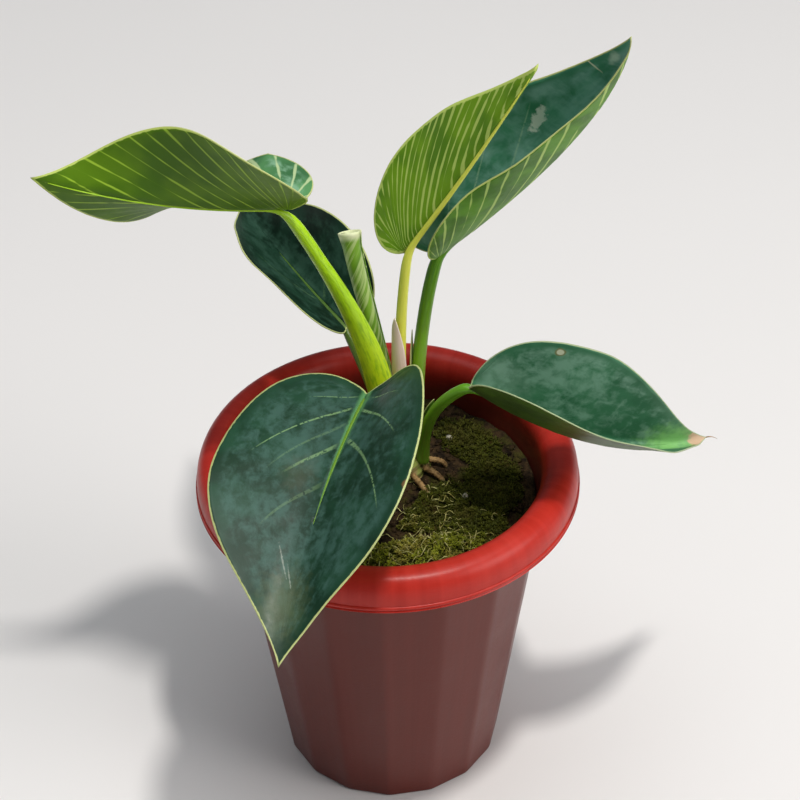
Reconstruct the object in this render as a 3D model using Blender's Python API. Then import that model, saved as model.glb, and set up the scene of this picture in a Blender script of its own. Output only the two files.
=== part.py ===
"""Potted philodendron.

A young plant with six heart-shaped leaves stands in a round plastic nursery pot
with a rolled rim and a flat-panelled body.  The pot's foot rests on z = 0 and its
axis is the Z axis.  The plant leans to both sides, and the front is -Y.
"""

import math

import bmesh
import bpy
from mathutils import Vector
from mathutils.geometry import interpolate_bezier

# Pot, in metres and degrees.
POT_HEIGHT = 0.148
RIM_DIAMETER = 0.150
RIM_DEPTH = 0.0135
RIM_BEAD = 0.003
RIM_WALL = 0.0022
RIM_OVERHANG = 0.0122
POT_TAPER = 0.707
POT_WALL = 0.0016
POT_FLOOR = 0.003
FOOT_RECESS = 0.002
FOOT_WIDTH = 0.005
PANELS = 16
PANEL_TURN = -2.5
DRAIN_HOLES = 6
DRAIN_DIAMETER = 0.008
DRAIN_RING = 0.55

# Fill and plant.
SOIL_BELOW_RIM = 0.018
SOIL_EDGE = 0.002
GAP = 0.0003
STEM_PLACE = (0.004, 0.013)
STEM_RADIUS = 0.0140
STEM_DEPTH = 0.016
STEM_ABOVE_SOIL = 0.008
BLADE_THICKNESS = 0.0007
CREASE_WIDTH = 0.003

# Sizes that follow from the ones above.
RIM_RADIUS = RIM_DIAMETER / 2
BODY_TOP_RADIUS = RIM_RADIUS - RIM_OVERHANG
BODY_FOOT_RADIUS = BODY_TOP_RADIUS * POT_TAPER
PANEL_FLAT = math.cos(math.pi / PANELS)
MOUTH_RADIUS = BODY_TOP_RADIUS * PANEL_FLAT - POT_WALL
FLOOR_RADIUS = BODY_FOOT_RADIUS * PANEL_FLAT - POT_WALL
FLOOR_TOP = FOOT_RECESS + POT_FLOOR
RIM_FOOT = POT_HEIGHT - RIM_DEPTH
ROLL_FOOT = RIM_FOOT + RIM_BEAD
SOIL_TOP = POT_HEIGHT - SOIL_BELOW_RIM
STEM_TOP = SOIL_TOP + STEM_ABOVE_SOIL
ROUND_STEPS = PANELS * 4

# One entry a leaf: where the blade joins its petiole (z above the pot's rim), the midrib's
# heading, rise and bends, the size of the blade and how its two halves fold and curl.
LEAVES = {
    "front": {
        "join": (-0.007, -0.020, 0.046),
        "heading": -110.5, "rise": -2.7, "roll": 20, "droop": 28, "sweep": -2, "twist": -17.5,
        "length": 0.119, "width": 0.084, "lobe": 0.063, "widest": 0.41,
        "fold": (30, 25), "curl": (-17.5, -3),
        "foot": (0.0005, -0.0070), "foot_radius": 0.0028, "tip_radius": 0.0021, "ease": 0.35,
    },
    "left": {
        "join": (-0.034, 0.002, 0.1145),
        "heading": 193, "rise": 6.7, "roll": 14, "droop": -14, "sweep": -18.5, "twist": 80,
        "length": 0.0925, "width": 0.0825, "lobe": 0.142, "widest": 0.307,
        "fold": (34, 16), "curl": (-14, 1),
        "foot": (-0.0052, -0.0025), "foot_radius": 0.0038, "tip_radius": 0.0022, "ease": 0.20,
    },
    "back": {
        "join": (-0.015, 0.0445, 0.0272),
        "heading": 124, "rise": 7, "roll": -8, "droop": 15, "sweep": -12.5, "twist": -2,
        "length": 0.099, "width": 0.063, "lobe": 0.059, "widest": 0.279,
        "fold": (48, 49), "curl": (6, 9),
        "foot": (-0.0048, 0.0066), "foot_radius": 0.0026, "tip_radius": 0.0020, "ease": 0.30,
    },
    "centre": {
        "join": (0.0085, 0.0145, 0.0855),
        "heading": -15.5, "rise": 59, "roll": -43, "droop": -2, "sweep": -4.5, "twist": -10,
        "length": 0.101, "width": 0.064, "lobe": 0.082, "widest": 0.25,
        "fold": (80, 89), "curl": (5, 9),
        "foot": (0.0016, -0.0002), "foot_radius": 0.0029, "tip_radius": 0.0022, "ease": 0.20,
    },
    "tall": {
        "join": (0.020, 0.031, 0.072),
        "heading": 14, "rise": 32.5, "roll": 28, "droop": -69, "sweep": -11, "twist": -2,
        "length": 0.140, "width": 0.0755, "lobe": 0.05, "widest": 0.272,
        "fold": (39, 70), "curl": (8, 26),
        "foot": (0.0076, 0.0025), "foot_radius": 0.0029, "tip_radius": 0.0025, "ease": 0.20,
    },
    "low": {
        "join": (0.032, -0.008, 0.039),
        "heading": -8, "rise": -37.5, "roll": 30.5, "droop": 12, "sweep": 46, "twist": -4.5,
        "length": 0.1175, "width": 0.079, "lobe": 0.022, "widest": 0.308,
        "fold": (55, 85), "curl": (1, -13.5),
        "foot": (0.0100, -0.0045), "foot_radius": 0.0026, "tip_radius": 0.0022, "ease": 0.30,
    },
}

BLADE_ROWS = 18
BLADE_COLUMNS = 5
TUBE_SIDES = 10


# --- shared tools -------------------------------------------------------------


def clear_objects():
    for item in list(bpy.data.objects):
        bpy.data.objects.remove(item, do_unlink=True)


def add_material(name, colour, roughness, metallic=0.0):
    material = bpy.data.materials.new(name)
    material.use_nodes = True
    shader = material.node_tree.nodes["Principled BSDF"]
    shader.inputs["Base Color"].default_value = (*colour, 1.0)
    shader.inputs["Roughness"].default_value = roughness
    shader.inputs["Metallic"].default_value = metallic
    material.diffuse_color = (*colour, 1.0)
    return material


def add_object(name, shape, material, smooth_angle=40):
    bmesh.ops.recalc_face_normals(shape, faces=shape.faces)
    mesh = bpy.data.meshes.new(name)
    shape.to_mesh(mesh)
    shape.free()
    mesh.materials.append(material)
    mesh.shade_smooth()
    mesh.set_sharp_from_angle(angle=math.radians(smooth_angle))
    item = bpy.data.objects.new(name, mesh)
    bpy.context.scene.collection.objects.link(item)
    return item


def cut(item, cutter):
    cutter.hide_render = True
    cutter.display_type = "WIRE"
    modifier = item.modifiers.new("Cut " + cutter.name, "BOOLEAN")
    modifier.operation = "DIFFERENCE"
    modifier.solver = "EXACT"
    modifier.object = cutter


def panel_radius(corner_radius, angle):
    """Radius of a many-sided outline whose corners lie on corner_radius."""
    panel = 2 * math.pi / PANELS
    across = (angle - math.radians(PANEL_TURN) + math.pi / 2) % panel - panel / 2
    return corner_radius * PANEL_FLAT / math.cos(across)


def ring(shape, radius, height, steps, panelled=False):
    """A closed row of vertices about the Z axis; corners fall on the panels' edges."""
    row = []
    for step in range(steps):
        angle = math.radians(PANEL_TURN) - math.pi / 2 + 2 * math.pi * step / steps
        reach = panel_radius(radius, angle) if panelled else radius
        row.append(shape.verts.new((reach * math.cos(angle), reach * math.sin(angle), height)))
    return row


def join_rows(shape, first, second):
    count = len(first)
    for index in range(count):
        after = (index + 1) % count
        shape.faces.new((first[index], first[after], second[after], second[index]))


def cap_row(shape, row, centre):
    middle = shape.verts.new(centre)
    for index in range(len(row)):
        shape.faces.new((row[index], row[(index + 1) % len(row)], middle))


def turned_body(outline, steps):
    """A solid of revolution; both ends of the outline close onto the axis."""
    shape = bmesh.new()
    rows = [ring(shape, radius, height, steps, panelled) for radius, height, panelled in outline]
    for first, second in zip(rows, rows[1:]):
        join_rows(shape, first, second)
    cap_row(shape, rows[0], (0, 0, outline[0][1]))
    cap_row(shape, rows[-1], (0, 0, outline[-1][1]))
    return shape


def tube_body(path, sizes, sides=TUBE_SIDES, side_hint=Vector((0, 1, 0)), flat_foot=False, inside_rows=0):
    """A tapered tube through the path; each size is (radius across, radius deep).

    The last inside_rows points turn back inside the tube's open end.
    """
    shape = bmesh.new()
    rows = []
    last = len(path) - 1 - inside_rows
    for index, point in enumerate(path):
        before = path[max(min(index, last) - 1, 0)]
        after = path[min(index + 1, last)]
        ahead = (after - before).normalized()
        if flat_foot and index == 0:
            ahead = Vector((0, 0, 1))
        across = ahead.cross(side_hint).normalized()
        deep = across.cross(ahead)
        row = []
        for step in range(sides):
            angle = 2 * math.pi * step / sides
            offset = across * sizes[index][0] * math.cos(angle) + deep * sizes[index][1] * math.sin(angle)
            row.append(shape.verts.new(point + offset))
        rows.append(row)
    for first, second in zip(rows, rows[1:]):
        join_rows(shape, first, second)
    shape.faces.new(rows[0])
    shape.faces.new(rows[-1])
    return shape


# --- pot ----------------------------------------------------------------------


def pot_material():
    return add_material("terracotta_plastic", (0.42, 0.055, 0.03), 0.45)


def rolled_rim_outline():
    """Fat half-round roll from the bead up, over the crest and into the mouth."""
    outer = RIM_RADIUS - RIM_BEAD / 3
    half_width = (outer - MOUTH_RADIUS) / 2
    middle = MOUTH_RADIUS + half_width
    rise = POT_HEIGHT - ROLL_FOOT
    steps = 9
    points = []
    for step in range(steps + 1):
        angle = math.pi * step / steps
        sideways = math.copysign(abs(math.cos(angle)) ** 0.85, math.cos(angle))
        points.append((middle + half_width * sideways, ROLL_FOOT + rise * math.sin(angle) ** 0.85, False))
    return points


def pot_outline():
    lip_inside = RIM_RADIUS - RIM_WALL - RIM_BEAD / 3
    channel_top = POT_HEIGHT - RIM_WALL * 2
    outline = [
        (BODY_FOOT_RADIUS * PANEL_FLAT - FOOT_WIDTH - FOOT_RECESS, FOOT_RECESS, False),
        (BODY_FOOT_RADIUS * PANEL_FLAT - FOOT_WIDTH, 0, False),
        (BODY_FOOT_RADIUS, 0, True),
        (BODY_TOP_RADIUS, RIM_FOOT, True),
        (BODY_TOP_RADIUS, RIM_FOOT + RIM_BEAD, False),
        (BODY_TOP_RADIUS + RIM_WALL * 0.4, channel_top - RIM_WALL, False),
        (lip_inside - RIM_WALL, channel_top - RIM_WALL / 2, False),
        (lip_inside, channel_top - RIM_WALL * 2, False),
        (lip_inside, RIM_FOOT, False),
        (RIM_RADIUS, RIM_FOOT, False),
        (RIM_RADIUS, ROLL_FOOT - RIM_BEAD / 6, False),
    ]
    outline += rolled_rim_outline()
    outline.append((FLOOR_RADIUS, FLOOR_TOP, False))
    return outline


def drain_hole_cutter():
    shape = bmesh.new()
    places = [(0.0, 0.0)]
    for hole in range(DRAIN_HOLES):
        angle = 2 * math.pi * hole / DRAIN_HOLES
        reach = FLOOR_RADIUS * DRAIN_RING
        places.append((reach * math.cos(angle), reach * math.sin(angle)))
    for across, along in places:
        made = bmesh.ops.create_cone(
            shape, cap_ends=True, segments=16,
            radius1=DRAIN_DIAMETER / 2, radius2=DRAIN_DIAMETER / 2, depth=FLOOR_TOP * 3,
        )
        bmesh.ops.translate(shape, verts=made["verts"], vec=(across, along, FLOOR_TOP / 2))
    return add_object("drain_hole_cutter", shape, add_material("cutter", (0.5, 0.5, 0.5), 0.5))


def make_pot():
    pot = add_object("pot", turned_body(pot_outline(), ROUND_STEPS), pot_material())
    cut(pot, drain_hole_cutter())


# --- soil, moss and litter ----------------------------------------------------


def wall_radius(height):
    """Inside radius of the pot at a height between its floor and the roll."""
    share = (height - FLOOR_TOP) / (ROLL_FOOT - FLOOR_TOP)
    return FLOOR_RADIUS + (MOUTH_RADIUS - FLOOR_RADIUS) * share


def soil_top_radius():
    """Where the soil's level top meets its bevelled edge."""
    return wall_radius(SOIL_TOP - SOIL_EDGE) - SOIL_EDGE * 2


def soil_material():
    return add_material("potting_soil", (0.035, 0.022, 0.012), 0.95)


def stem_pocket_cutter():
    shape = bmesh.new()
    bmesh.ops.create_cone(
        shape, cap_ends=True, segments=24,
        radius1=STEM_RADIUS + GAP, radius2=STEM_RADIUS + GAP, depth=2 * (STEM_DEPTH + GAP),
    )
    bmesh.ops.translate(shape, verts=shape.verts, vec=(*STEM_PLACE, SOIL_TOP))
    return add_object("stem_pocket_cutter", shape, add_material("cutter", (0.5, 0.5, 0.5), 0.5))


def make_soil():
    bottom = FLOOR_TOP + GAP
    edge = SOIL_TOP - SOIL_EDGE
    outline = [
        (wall_radius(bottom) - GAP * 2, bottom, False),
        (wall_radius(edge) - GAP * 2, edge, False),
        (soil_top_radius(), SOIL_TOP, False),
    ]
    soil = add_object("soil", turned_body(outline, ROUND_STEPS), soil_material())
    cut(soil, stem_pocket_cutter())


def moss_material():
    return add_material("moss", (0.11, 0.13, 0.018), 0.95)


def mound_body(place, facing, reach, height, waves, steps=22, rows=4):
    """A low lump with a wandering edge and a flat underside on the soil.

    The first reach is along the facing angle and the second is across it.
    """
    shape = bmesh.new()
    base = SOIL_TOP + GAP
    lines = []
    for row in range(rows):
        share = math.cos(0.5 * math.pi * row / rows)
        lift = height * math.sin(0.5 * math.pi * row / rows)
        line = []
        for step in range(steps):
            angle = 2 * math.pi * step / steps
            edge = 1 + 0.09 * math.sin(waves * angle + facing) + 0.06 * math.sin((waves + 2) * angle)
            bump = 1 + 0.18 * math.sin(waves * angle * 2 + row * 1.7)
            out = reach[0] * share * edge * math.cos(angle)
            around = reach[1] * share * edge * math.sin(angle)
            line.append(shape.verts.new((
                place[0] + out * math.cos(facing) - around * math.sin(facing),
                place[1] + out * math.sin(facing) + around * math.cos(facing),
                base + lift * bump,
            )))
        lines.append(line)
    for first, second in zip(lines, lines[1:]):
        join_rows(shape, first, second)
    cap_row(shape, lines[0], (place[0], place[1], base))
    cap_row(shape, lines[-1], (place[0], place[1], base + height * 1.05))
    return shape


# Patches that follow the wall: the angle they face, how far their middle lies in from the
# soil's edge, their half depth, the half angle that they spread over, height and waves.
MOSS_PATCHES = {
    "front": (-82, 0.0108, 0.0085, 31, 0.0040, 3),
    "front_right": (-39, 0.0092, 0.0110, 12, 0.0045, 4),
    "right": (-1, 0.0117, 0.0100, 20, 0.0035, 3),
    "right_back": (40, 0.0100, 0.0085, 10, 0.0030, 4),
    "back_left": (114, 0.0064, 0.0060, 13, 0.0085, 3),
    "left": (172, 0.0164, 0.0105, 27, 0.0035, 4),
}
MOSS_TUFT = {"from_stem": (0.015, -0.029), "reach": (0.0070, 0.0060), "height": 0.0050}


def patch_middle(name):
    """How far from the pot's axis a patch's middle lies."""
    return soil_top_radius() - MOSS_PATCHES[name][1]


def make_moss():
    moss = moss_material()
    for name, (angle, _, half_depth, spread, height, waves) in MOSS_PATCHES.items():
        facing = math.radians(angle)
        middle = patch_middle(name)
        place = (middle * math.cos(facing), middle * math.sin(facing))
        reach = (half_depth, middle * math.radians(spread))
        add_object("moss_" + name, mound_body(place, facing, reach, height, waves), moss)
    aside, ahead = MOSS_TUFT["from_stem"]
    place = (STEM_PLACE[0] + aside, STEM_PLACE[1] + ahead)
    body = mound_body(place, math.radians(50), MOSS_TUFT["reach"], MOSS_TUFT["height"], 3)
    add_object("moss_tuft", body, moss)


# Strands on the bare soil in front of the stem.  A point is how far it lies to the right
# of the axis, and its share of the way from the stem to the front moss.
STRAND_RADIUS = 0.0006
STRANDS = {
    "front": ((-0.010, 0.72), (0.004, 0.56), (0.004, 0.84), (0.012, 0.78)),
    "middle": ((0.002, 0.24), (0.006, 0.14), (0.006, 0.38), (0.0105, 0.32)),
}

# Perlite grains inside a moss patch: the patch, the angle, how far in from the patch's
# middle, and the radius.
GRAINS = {
    "back": ("right_back", 47.2, 0.0079, 0.0016),
    "right": ("right", -14.9, 0.0120, 0.0014),
}


def make_litter():
    """Dry strands and two grains of perlite lying on the bare soil."""
    strand = add_material("dry_strand", (0.50, 0.46, 0.30), 0.85)
    grain = add_material("perlite", (0.72, 0.70, 0.62), 0.9)
    level = SOIL_TOP + GAP + STRAND_RADIUS
    stem_front = STEM_PLACE[1] - STEM_RADIUS
    moss_inside = MOSS_PATCHES["front"][2] - patch_middle("front")
    for name, corners in STRANDS.items():
        points = []
        for across, share in corners:
            points.append(Vector((across, stem_front + (moss_inside - stem_front) * share, level)))
        path = interpolate_bezier(*points, 10)
        body = tube_body(path, [(STRAND_RADIUS, STRAND_RADIUS)] * 10, 6, Vector((0, 0, 1)))
        add_object("dry_strand_" + name, body, strand)
    for name, (patch, angle, inside, size) in GRAINS.items():
        reach = patch_middle(patch) - inside
        facing = math.radians(angle)
        place = (reach * math.cos(facing), reach * math.sin(facing), SOIL_TOP + GAP + size)
        shape = bmesh.new()
        bmesh.ops.create_icosphere(shape, subdivisions=2, radius=size)
        bmesh.ops.translate(shape, verts=shape.verts, vec=place)
        add_object("perlite_grain_" + name, shape, grain)


# --- stem and roots -----------------------------------------------------------


def make_stem():
    material = add_material("stem_bark", (0.16, 0.14, 0.05), 0.8)
    outline = [
        (STEM_RADIUS * 0.8, SOIL_TOP - STEM_DEPTH, False),
        (STEM_RADIUS, SOIL_TOP - STEM_DEPTH * 0.6, False),
        (STEM_RADIUS, STEM_TOP - 0.002, False),
        (STEM_RADIUS - 0.001, STEM_TOP, False),
    ]
    shape = turned_body(outline, 24)
    bmesh.ops.translate(shape, verts=shape.verts, vec=(*STEM_PLACE, 0))
    add_object("stem", shape, material)


def make_aerial_roots():
    """Short tan roots that leave the stem's flank and bend down to the soil."""
    material = add_material("root_tan", (0.42, 0.27, 0.13), 0.8)
    radius = 0.0011
    for number, angle in enumerate((-8, -34, -62), start=1):
        outward = Vector((math.cos(math.radians(angle)), math.sin(math.radians(angle)), 0))
        centre = Vector((*STEM_PLACE, 0))
        start = centre + outward * (STEM_RADIUS + GAP * 2) + Vector((0, 0, SOIL_TOP + 0.0045))
        finish = centre + outward * (STEM_RADIUS + 0.0045) + Vector((0, 0, SOIL_TOP + GAP * 2))
        path = interpolate_bezier(start, start + outward * 0.0035, finish + Vector((0, 0, 0.003)), finish, 7)
        sizes = [(radius * (1 - 0.05 * step), radius * (1 - 0.05 * step)) for step in range(7)]
        hint = Vector((-outward.y, outward.x, 0))
        add_object("aerial_root_%d" % number, tube_body(path, sizes, 8, hint), material)


# --- leaf blades --------------------------------------------------------------


def start_frame(leaf):
    """Midrib direction, left side and upper side at the join."""
    heading = math.radians(leaf["heading"])
    rise = math.radians(leaf["rise"])
    roll = math.radians(leaf["roll"])
    ahead = Vector((math.cos(rise) * math.cos(heading), math.cos(rise) * math.sin(heading), math.sin(rise)))
    left = Vector((-math.sin(heading), math.cos(heading), 0))
    upper = ahead.cross(left)
    lifted_left = left * math.cos(roll) + upper * math.sin(roll)
    return ahead, lifted_left, upper * math.cos(roll) - left * math.sin(roll)


def join_point(leaf):
    across, along, above = leaf["join"]
    return Vector((across, along, POT_HEIGHT + above))


def midrib_direction(leaf, share):
    ahead, left, upper = start_frame(leaf)
    droop = math.radians(leaf["droop"]) * share
    sweep = math.radians(leaf["sweep"]) * share
    level = ahead * math.cos(sweep) + left * math.sin(sweep)
    return level * math.cos(droop) - upper * math.sin(droop)


def midrib_point(leaf, share):
    steps = 16
    point = join_point(leaf)
    for step in range(steps):
        point += midrib_direction(leaf, share * (step + 0.5) / steps) * leaf["length"] * share / steps
    return point


def cross_frame(leaf, share):
    """Left and upper directions of the blade at a share of its length."""
    ahead = midrib_direction(leaf, share)
    start_ahead, _, start_upper = start_frame(leaf)
    droop = math.radians(leaf["droop"]) * share
    upper = start_ahead * math.sin(droop) + start_upper * math.cos(droop)
    upper = (upper - ahead * upper.dot(ahead)).normalized()
    left = upper.cross(ahead)
    twist = math.radians(leaf["twist"]) * share
    return left * math.cos(twist) + upper * math.sin(twist), upper * math.cos(twist) - left * math.sin(twist)


def arc_offset(start_angle, bend, run):
    """Across and up offsets of an arc of a given length and bend per metre."""
    half = bend * run / 2
    chord = run if abs(half) < 1e-6 else run * math.sin(half) / half
    return chord * math.cos(start_angle + half), chord * math.sin(start_angle + half)


def blade_point(leaf, along, across):
    """A point of the blade from its flat place: along the midrib, and across it to the left."""
    share = min(max(along / leaf["length"], 0), 1)
    point = midrib_point(leaf, share)
    if along < 0:
        point += start_frame(leaf)[0] * along
    left, upper = cross_frame(leaf, share)
    half = 0 if across >= 0 else 1
    curl = math.radians(leaf["curl"][half]) / (leaf["width"] / 2)
    crease = math.radians(leaf["fold"][half]) / CREASE_WIDTH + curl
    near = min(abs(across), CREASE_WIDTH)
    sideways, lift = arc_offset(0, crease, near)
    if abs(across) > CREASE_WIDTH:
        more = arc_offset(crease * CREASE_WIDTH, curl, abs(across) - CREASE_WIDTH)
        sideways += more[0]
        lift += more[1]
    if across < 0:
        sideways = -sideways
    return point + left * sideways + upper * lift


def blade_margin(leaf):
    """Flat outline of half a heart-shaped blade, from the notch round to the tip."""
    lobe, widest = leaf["lobe"], leaf["widest"]
    half = BLADE_ROWS // 2 + 1
    back = interpolate_bezier((0, 0), (-1.9 * lobe, 0.30), (-lobe, 1), (widest, 1), half)
    front = interpolate_bezier((widest, 1), (widest + 0.26, 1), (0.80, 0.22), (1, 0), half)
    return [(point[0] * leaf["length"], point[1] * leaf["width"] / 2) for point in back + front[1:]]


def blade_body(leaf):
    """Both halves as rows running from the midrib to the margin."""
    shape = bmesh.new()
    length = leaf["length"]
    margin = blade_margin(leaf)[1:]
    for side in (1, -1):
        rows = []
        for edge_along, edge_across in margin:
            root = max(0, (edge_along / length - 0.10) / 0.90) * length
            row = []
            for column in range(BLADE_COLUMNS + 1):
                share = column / BLADE_COLUMNS
                along = root + (edge_along - root) * share
                row.append(shape.verts.new(blade_point(leaf, along, side * max(edge_across * share, 1e-9))))
            rows.append(row)
        for first, second in zip(rows, rows[1:]):
            for column in range(BLADE_COLUMNS):
                corners = (first[column], first[column + 1], second[column + 1], second[column])
                shape.faces.new(corners if side > 0 else corners[::-1])
    bmesh.ops.remove_doubles(shape, verts=shape.verts, dist=0.00002)
    return shape


def make_blade(name, material):
    blade = add_object("blade_" + name, blade_body(LEAVES[name]), material)
    skin = blade.modifiers.new("Leaf thickness", "SOLIDIFY")
    skin.thickness = BLADE_THICKNESS
    skin.offset = 0
    return blade


# --- petioles and sheaths -----------------------------------------------------


def petiole_path(name, steps=14):
    """Centre line from the stem's top to just under the blade's join."""
    leaf = LEAVES[name]
    foot = Vector((STEM_PLACE[0] + leaf["foot"][0], STEM_PLACE[1] + leaf["foot"][1], STEM_TOP + GAP))
    join = join_point(leaf)
    ahead, _, upper = start_frame(leaf)
    chord = join - foot
    arrive = (chord.normalized() * (1 - leaf["ease"]) + ahead * leaf["ease"]).normalized()
    slope = math.sqrt(max(0, 1 - arrive.dot(upper) ** 2))
    finish = join - upper * (BLADE_THICKNESS / 2 + GAP * 2 + leaf["tip_radius"] * slope)
    reach = chord.length * 0.35
    return interpolate_bezier(foot, foot + Vector((0, 0, reach)), finish - arrive * reach, finish, steps)


def petiole_radius(leaf, share):
    return leaf["foot_radius"] + (leaf["tip_radius"] - leaf["foot_radius"]) * share ** 0.7


def make_petiole(name, material):
    leaf = LEAVES[name]
    path = petiole_path(name)
    sizes = []
    for step in range(len(path)):
        radius = petiole_radius(leaf, step / (len(path) - 1))
        sizes.append((radius, radius))
    add_object("petiole_" + name, tube_body(path, sizes, flat_foot=True), material)


# Thin scales: the petiole each lies along, the stretch of it, the side, the width, colour.
SCALES = {
    "cataphyll_pink": ("centre", (0.48, 0.72), 200, 0.0040, (0.70, 0.52, 0.40)),
    "sheath_tall": ("tall", (0.28, 0.66), 165, 0.0042, (0.18, 0.34, 0.04)),
    "sheath_low": ("low", (0.20, 0.66), 120, 0.0036, (0.16, 0.30, 0.04)),
}


def make_scale(name, leaf_name, span, side, width, material):
    """A thin pointed sheath that lies along one side of a petiole."""
    leaf = LEAVES[leaf_name]
    steps = 9
    fine = petiole_path(leaf_name, 41)
    thickness = 0.0011
    side = math.radians(side)
    outward = Vector((math.cos(side), math.sin(side), 0))
    path = []
    sizes = []
    for step in range(steps):
        share = step / (steps - 1)
        place = span[0] + (span[1] - span[0]) * share
        slot = round(place * 40)
        ahead = (fine[min(slot + 1, 40)] - fine[max(slot - 1, 0)]).normalized()
        across = (outward - ahead * outward.dot(ahead)).normalized()
        lean = 0.0012 * share ** 2
        path.append(fine[slot] + across * (petiole_radius(leaf, place) + GAP * 2 + thickness / 2 + lean))
        taper = 1 - 0.82 * share ** 2.2
        sizes.append((width / 2 * taper, thickness / 2 * taper))
    add_object(name, tube_body(path, sizes, 8, outward), material)


ROLLED_LEAF = {
    "from_stem": (0.0008, 0.0060), "tip": (-0.0125, 0.0150), "tip_above_rim": 0.098,
    "foot_radius": 0.0021, "tip_radius": 0.0035, "mouth_depth": 0.007, "reach": 0.030,
}


def make_rolled_leaf():
    """The next leaf, still rolled: a slim horn with an open, flared end."""
    size = ROLLED_LEAF
    steps = 12
    aside, behind = size["from_stem"]
    foot = Vector((STEM_PLACE[0] + aside, STEM_PLACE[1] + behind, STEM_TOP + GAP))
    finish = Vector((*size["tip"], POT_HEIGHT + size["tip_above_rim"]))
    leave = foot + Vector((0.001, 0.001, size["reach"]))
    arrive = finish + Vector((0.006, 0, -size["reach"]))
    path = interpolate_bezier(foot, leave, arrive, finish, steps)
    radii = []
    for step in range(steps):
        share = step / (steps - 1)
        radii.append(size["foot_radius"] + (size["tip_radius"] - size["foot_radius"]) * share)
    ahead = (path[-1] - path[-2]).normalized()
    path += [finish - ahead * GAP, finish - ahead * size["mouth_depth"]]
    radii += [size["tip_radius"] * 0.74, size["tip_radius"] * 0.34]
    shape = tube_body(path, [(radius, radius) for radius in radii], inside_rows=2)
    add_object("rolled_new_leaf", shape, add_material("new_leaf_green", (0.30, 0.45, 0.10), 0.5))


def make_leaves():
    dark = (0.012, 0.055, 0.022)
    lime = (0.14, 0.26, 0.03)
    blade_colours = {"front": dark, "left": lime, "back": dark, "centre": lime, "tall": dark, "low": dark}
    stalk_colours = {
        "front": (0.12, 0.25, 0.03), "left": (0.33, 0.48, 0.04), "back": (0.06, 0.12, 0.02),
        "centre": (0.48, 0.55, 0.07), "tall": (0.16, 0.33, 0.03), "low": (0.12, 0.27, 0.03),
    }
    for name in LEAVES:
        make_blade(name, add_material("blade_" + name, blade_colours[name], 0.4))
        make_petiole(name, add_material("petiole_" + name, stalk_colours[name], 0.45))
    for name, (leaf_name, span, side, width, colour) in SCALES.items():
        make_scale(name, leaf_name, span, side, width, add_material(name, colour, 0.55))


def main():
    clear_objects()
    make_pot()
    make_soil()
    make_moss()
    make_litter()
    make_stem()
    make_aerial_roots()
    make_rolled_leaf()
    make_leaves()


main()
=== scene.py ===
import math
import random

import bmesh
import bpy
import numpy as np
from mathutils import Matrix, Vector, noise
from mathutils.geometry import interpolate_bezier


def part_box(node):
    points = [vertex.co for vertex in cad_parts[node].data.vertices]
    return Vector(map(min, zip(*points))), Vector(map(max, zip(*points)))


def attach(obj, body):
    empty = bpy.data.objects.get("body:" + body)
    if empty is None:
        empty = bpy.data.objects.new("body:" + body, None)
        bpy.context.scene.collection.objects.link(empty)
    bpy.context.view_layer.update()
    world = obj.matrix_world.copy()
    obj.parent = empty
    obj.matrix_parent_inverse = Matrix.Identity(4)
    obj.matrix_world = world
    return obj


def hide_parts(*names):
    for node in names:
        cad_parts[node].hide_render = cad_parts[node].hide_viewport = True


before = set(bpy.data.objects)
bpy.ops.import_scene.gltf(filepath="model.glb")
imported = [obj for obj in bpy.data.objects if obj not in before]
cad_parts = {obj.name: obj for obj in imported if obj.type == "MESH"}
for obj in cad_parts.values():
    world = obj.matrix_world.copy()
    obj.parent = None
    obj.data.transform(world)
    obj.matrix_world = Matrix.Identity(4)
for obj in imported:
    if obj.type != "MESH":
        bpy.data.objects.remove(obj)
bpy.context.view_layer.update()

mm = 0.001
potLow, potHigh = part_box("pot")
soilLow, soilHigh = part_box("soil")
stemLow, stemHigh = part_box("stem")
potAxis = (potLow + potHigh) / 2
stemAxis = (stemLow + stemHigh) / 2
rimRadius = (potHigh.x - potLow.x) / 2
potTop = potHigh.z
soilTop = soilHigh.z
stemTop = stemHigh.z


# Shading helpers; each returns the socket that carries its result.

def newSkin(name, roughness, specular=0.5):
    skin = bpy.data.materials.new(name)
    skin.use_nodes = True
    tree = skin.node_tree
    shader = tree.nodes["Principled BSDF"]
    shader.inputs["Roughness"].default_value = roughness
    shader.inputs["Specular IOR Level"].default_value = specular
    return skin, tree, shader


def feed(tree, socket, value):
    if isinstance(value, bpy.types.NodeSocket):
        tree.links.new(value, socket)
    elif isinstance(value, tuple) and len(value) == 3 and socket.type == "RGBA":
        socket.default_value = (*value, 1.0)
    else:
        socket.default_value = value


def sums(tree, operation, first, second=0.0, clamp=False):
    node = tree.nodes.new("ShaderNodeMath")
    node.operation = operation
    node.use_clamp = clamp
    feed(tree, node.inputs[0], first)
    feed(tree, node.inputs[1], second)
    return node.outputs[0]


def plus(tree, first, second):
    return sums(tree, "ADD", first, second)


def less(tree, first, second, clamp=False):
    return sums(tree, "SUBTRACT", first, second, clamp)


def times(tree, first, second):
    return sums(tree, "MULTIPLY", first, second)


def over(tree, first, second):
    return sums(tree, "DIVIDE", first, second)


def absolute(tree, value):
    return sums(tree, "ABSOLUTE", value)


def hypotenuse(tree, first, second):
    return sums(tree, "SQRT", plus(tree, times(tree, first, first), times(tree, second, second)))


# Smooth ramp from 0 at low to 1 at high; it falls when low is the larger one.
def ramp(tree, value, low, high):
    node = tree.nodes.new("ShaderNodeMapRange")
    node.interpolation_type = "SMOOTHSTEP"
    feed(tree, node.inputs["Value"], value)
    feed(tree, node.inputs["From Min"], low)
    feed(tree, node.inputs["From Max"], high)
    return node.outputs["Result"]


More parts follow.
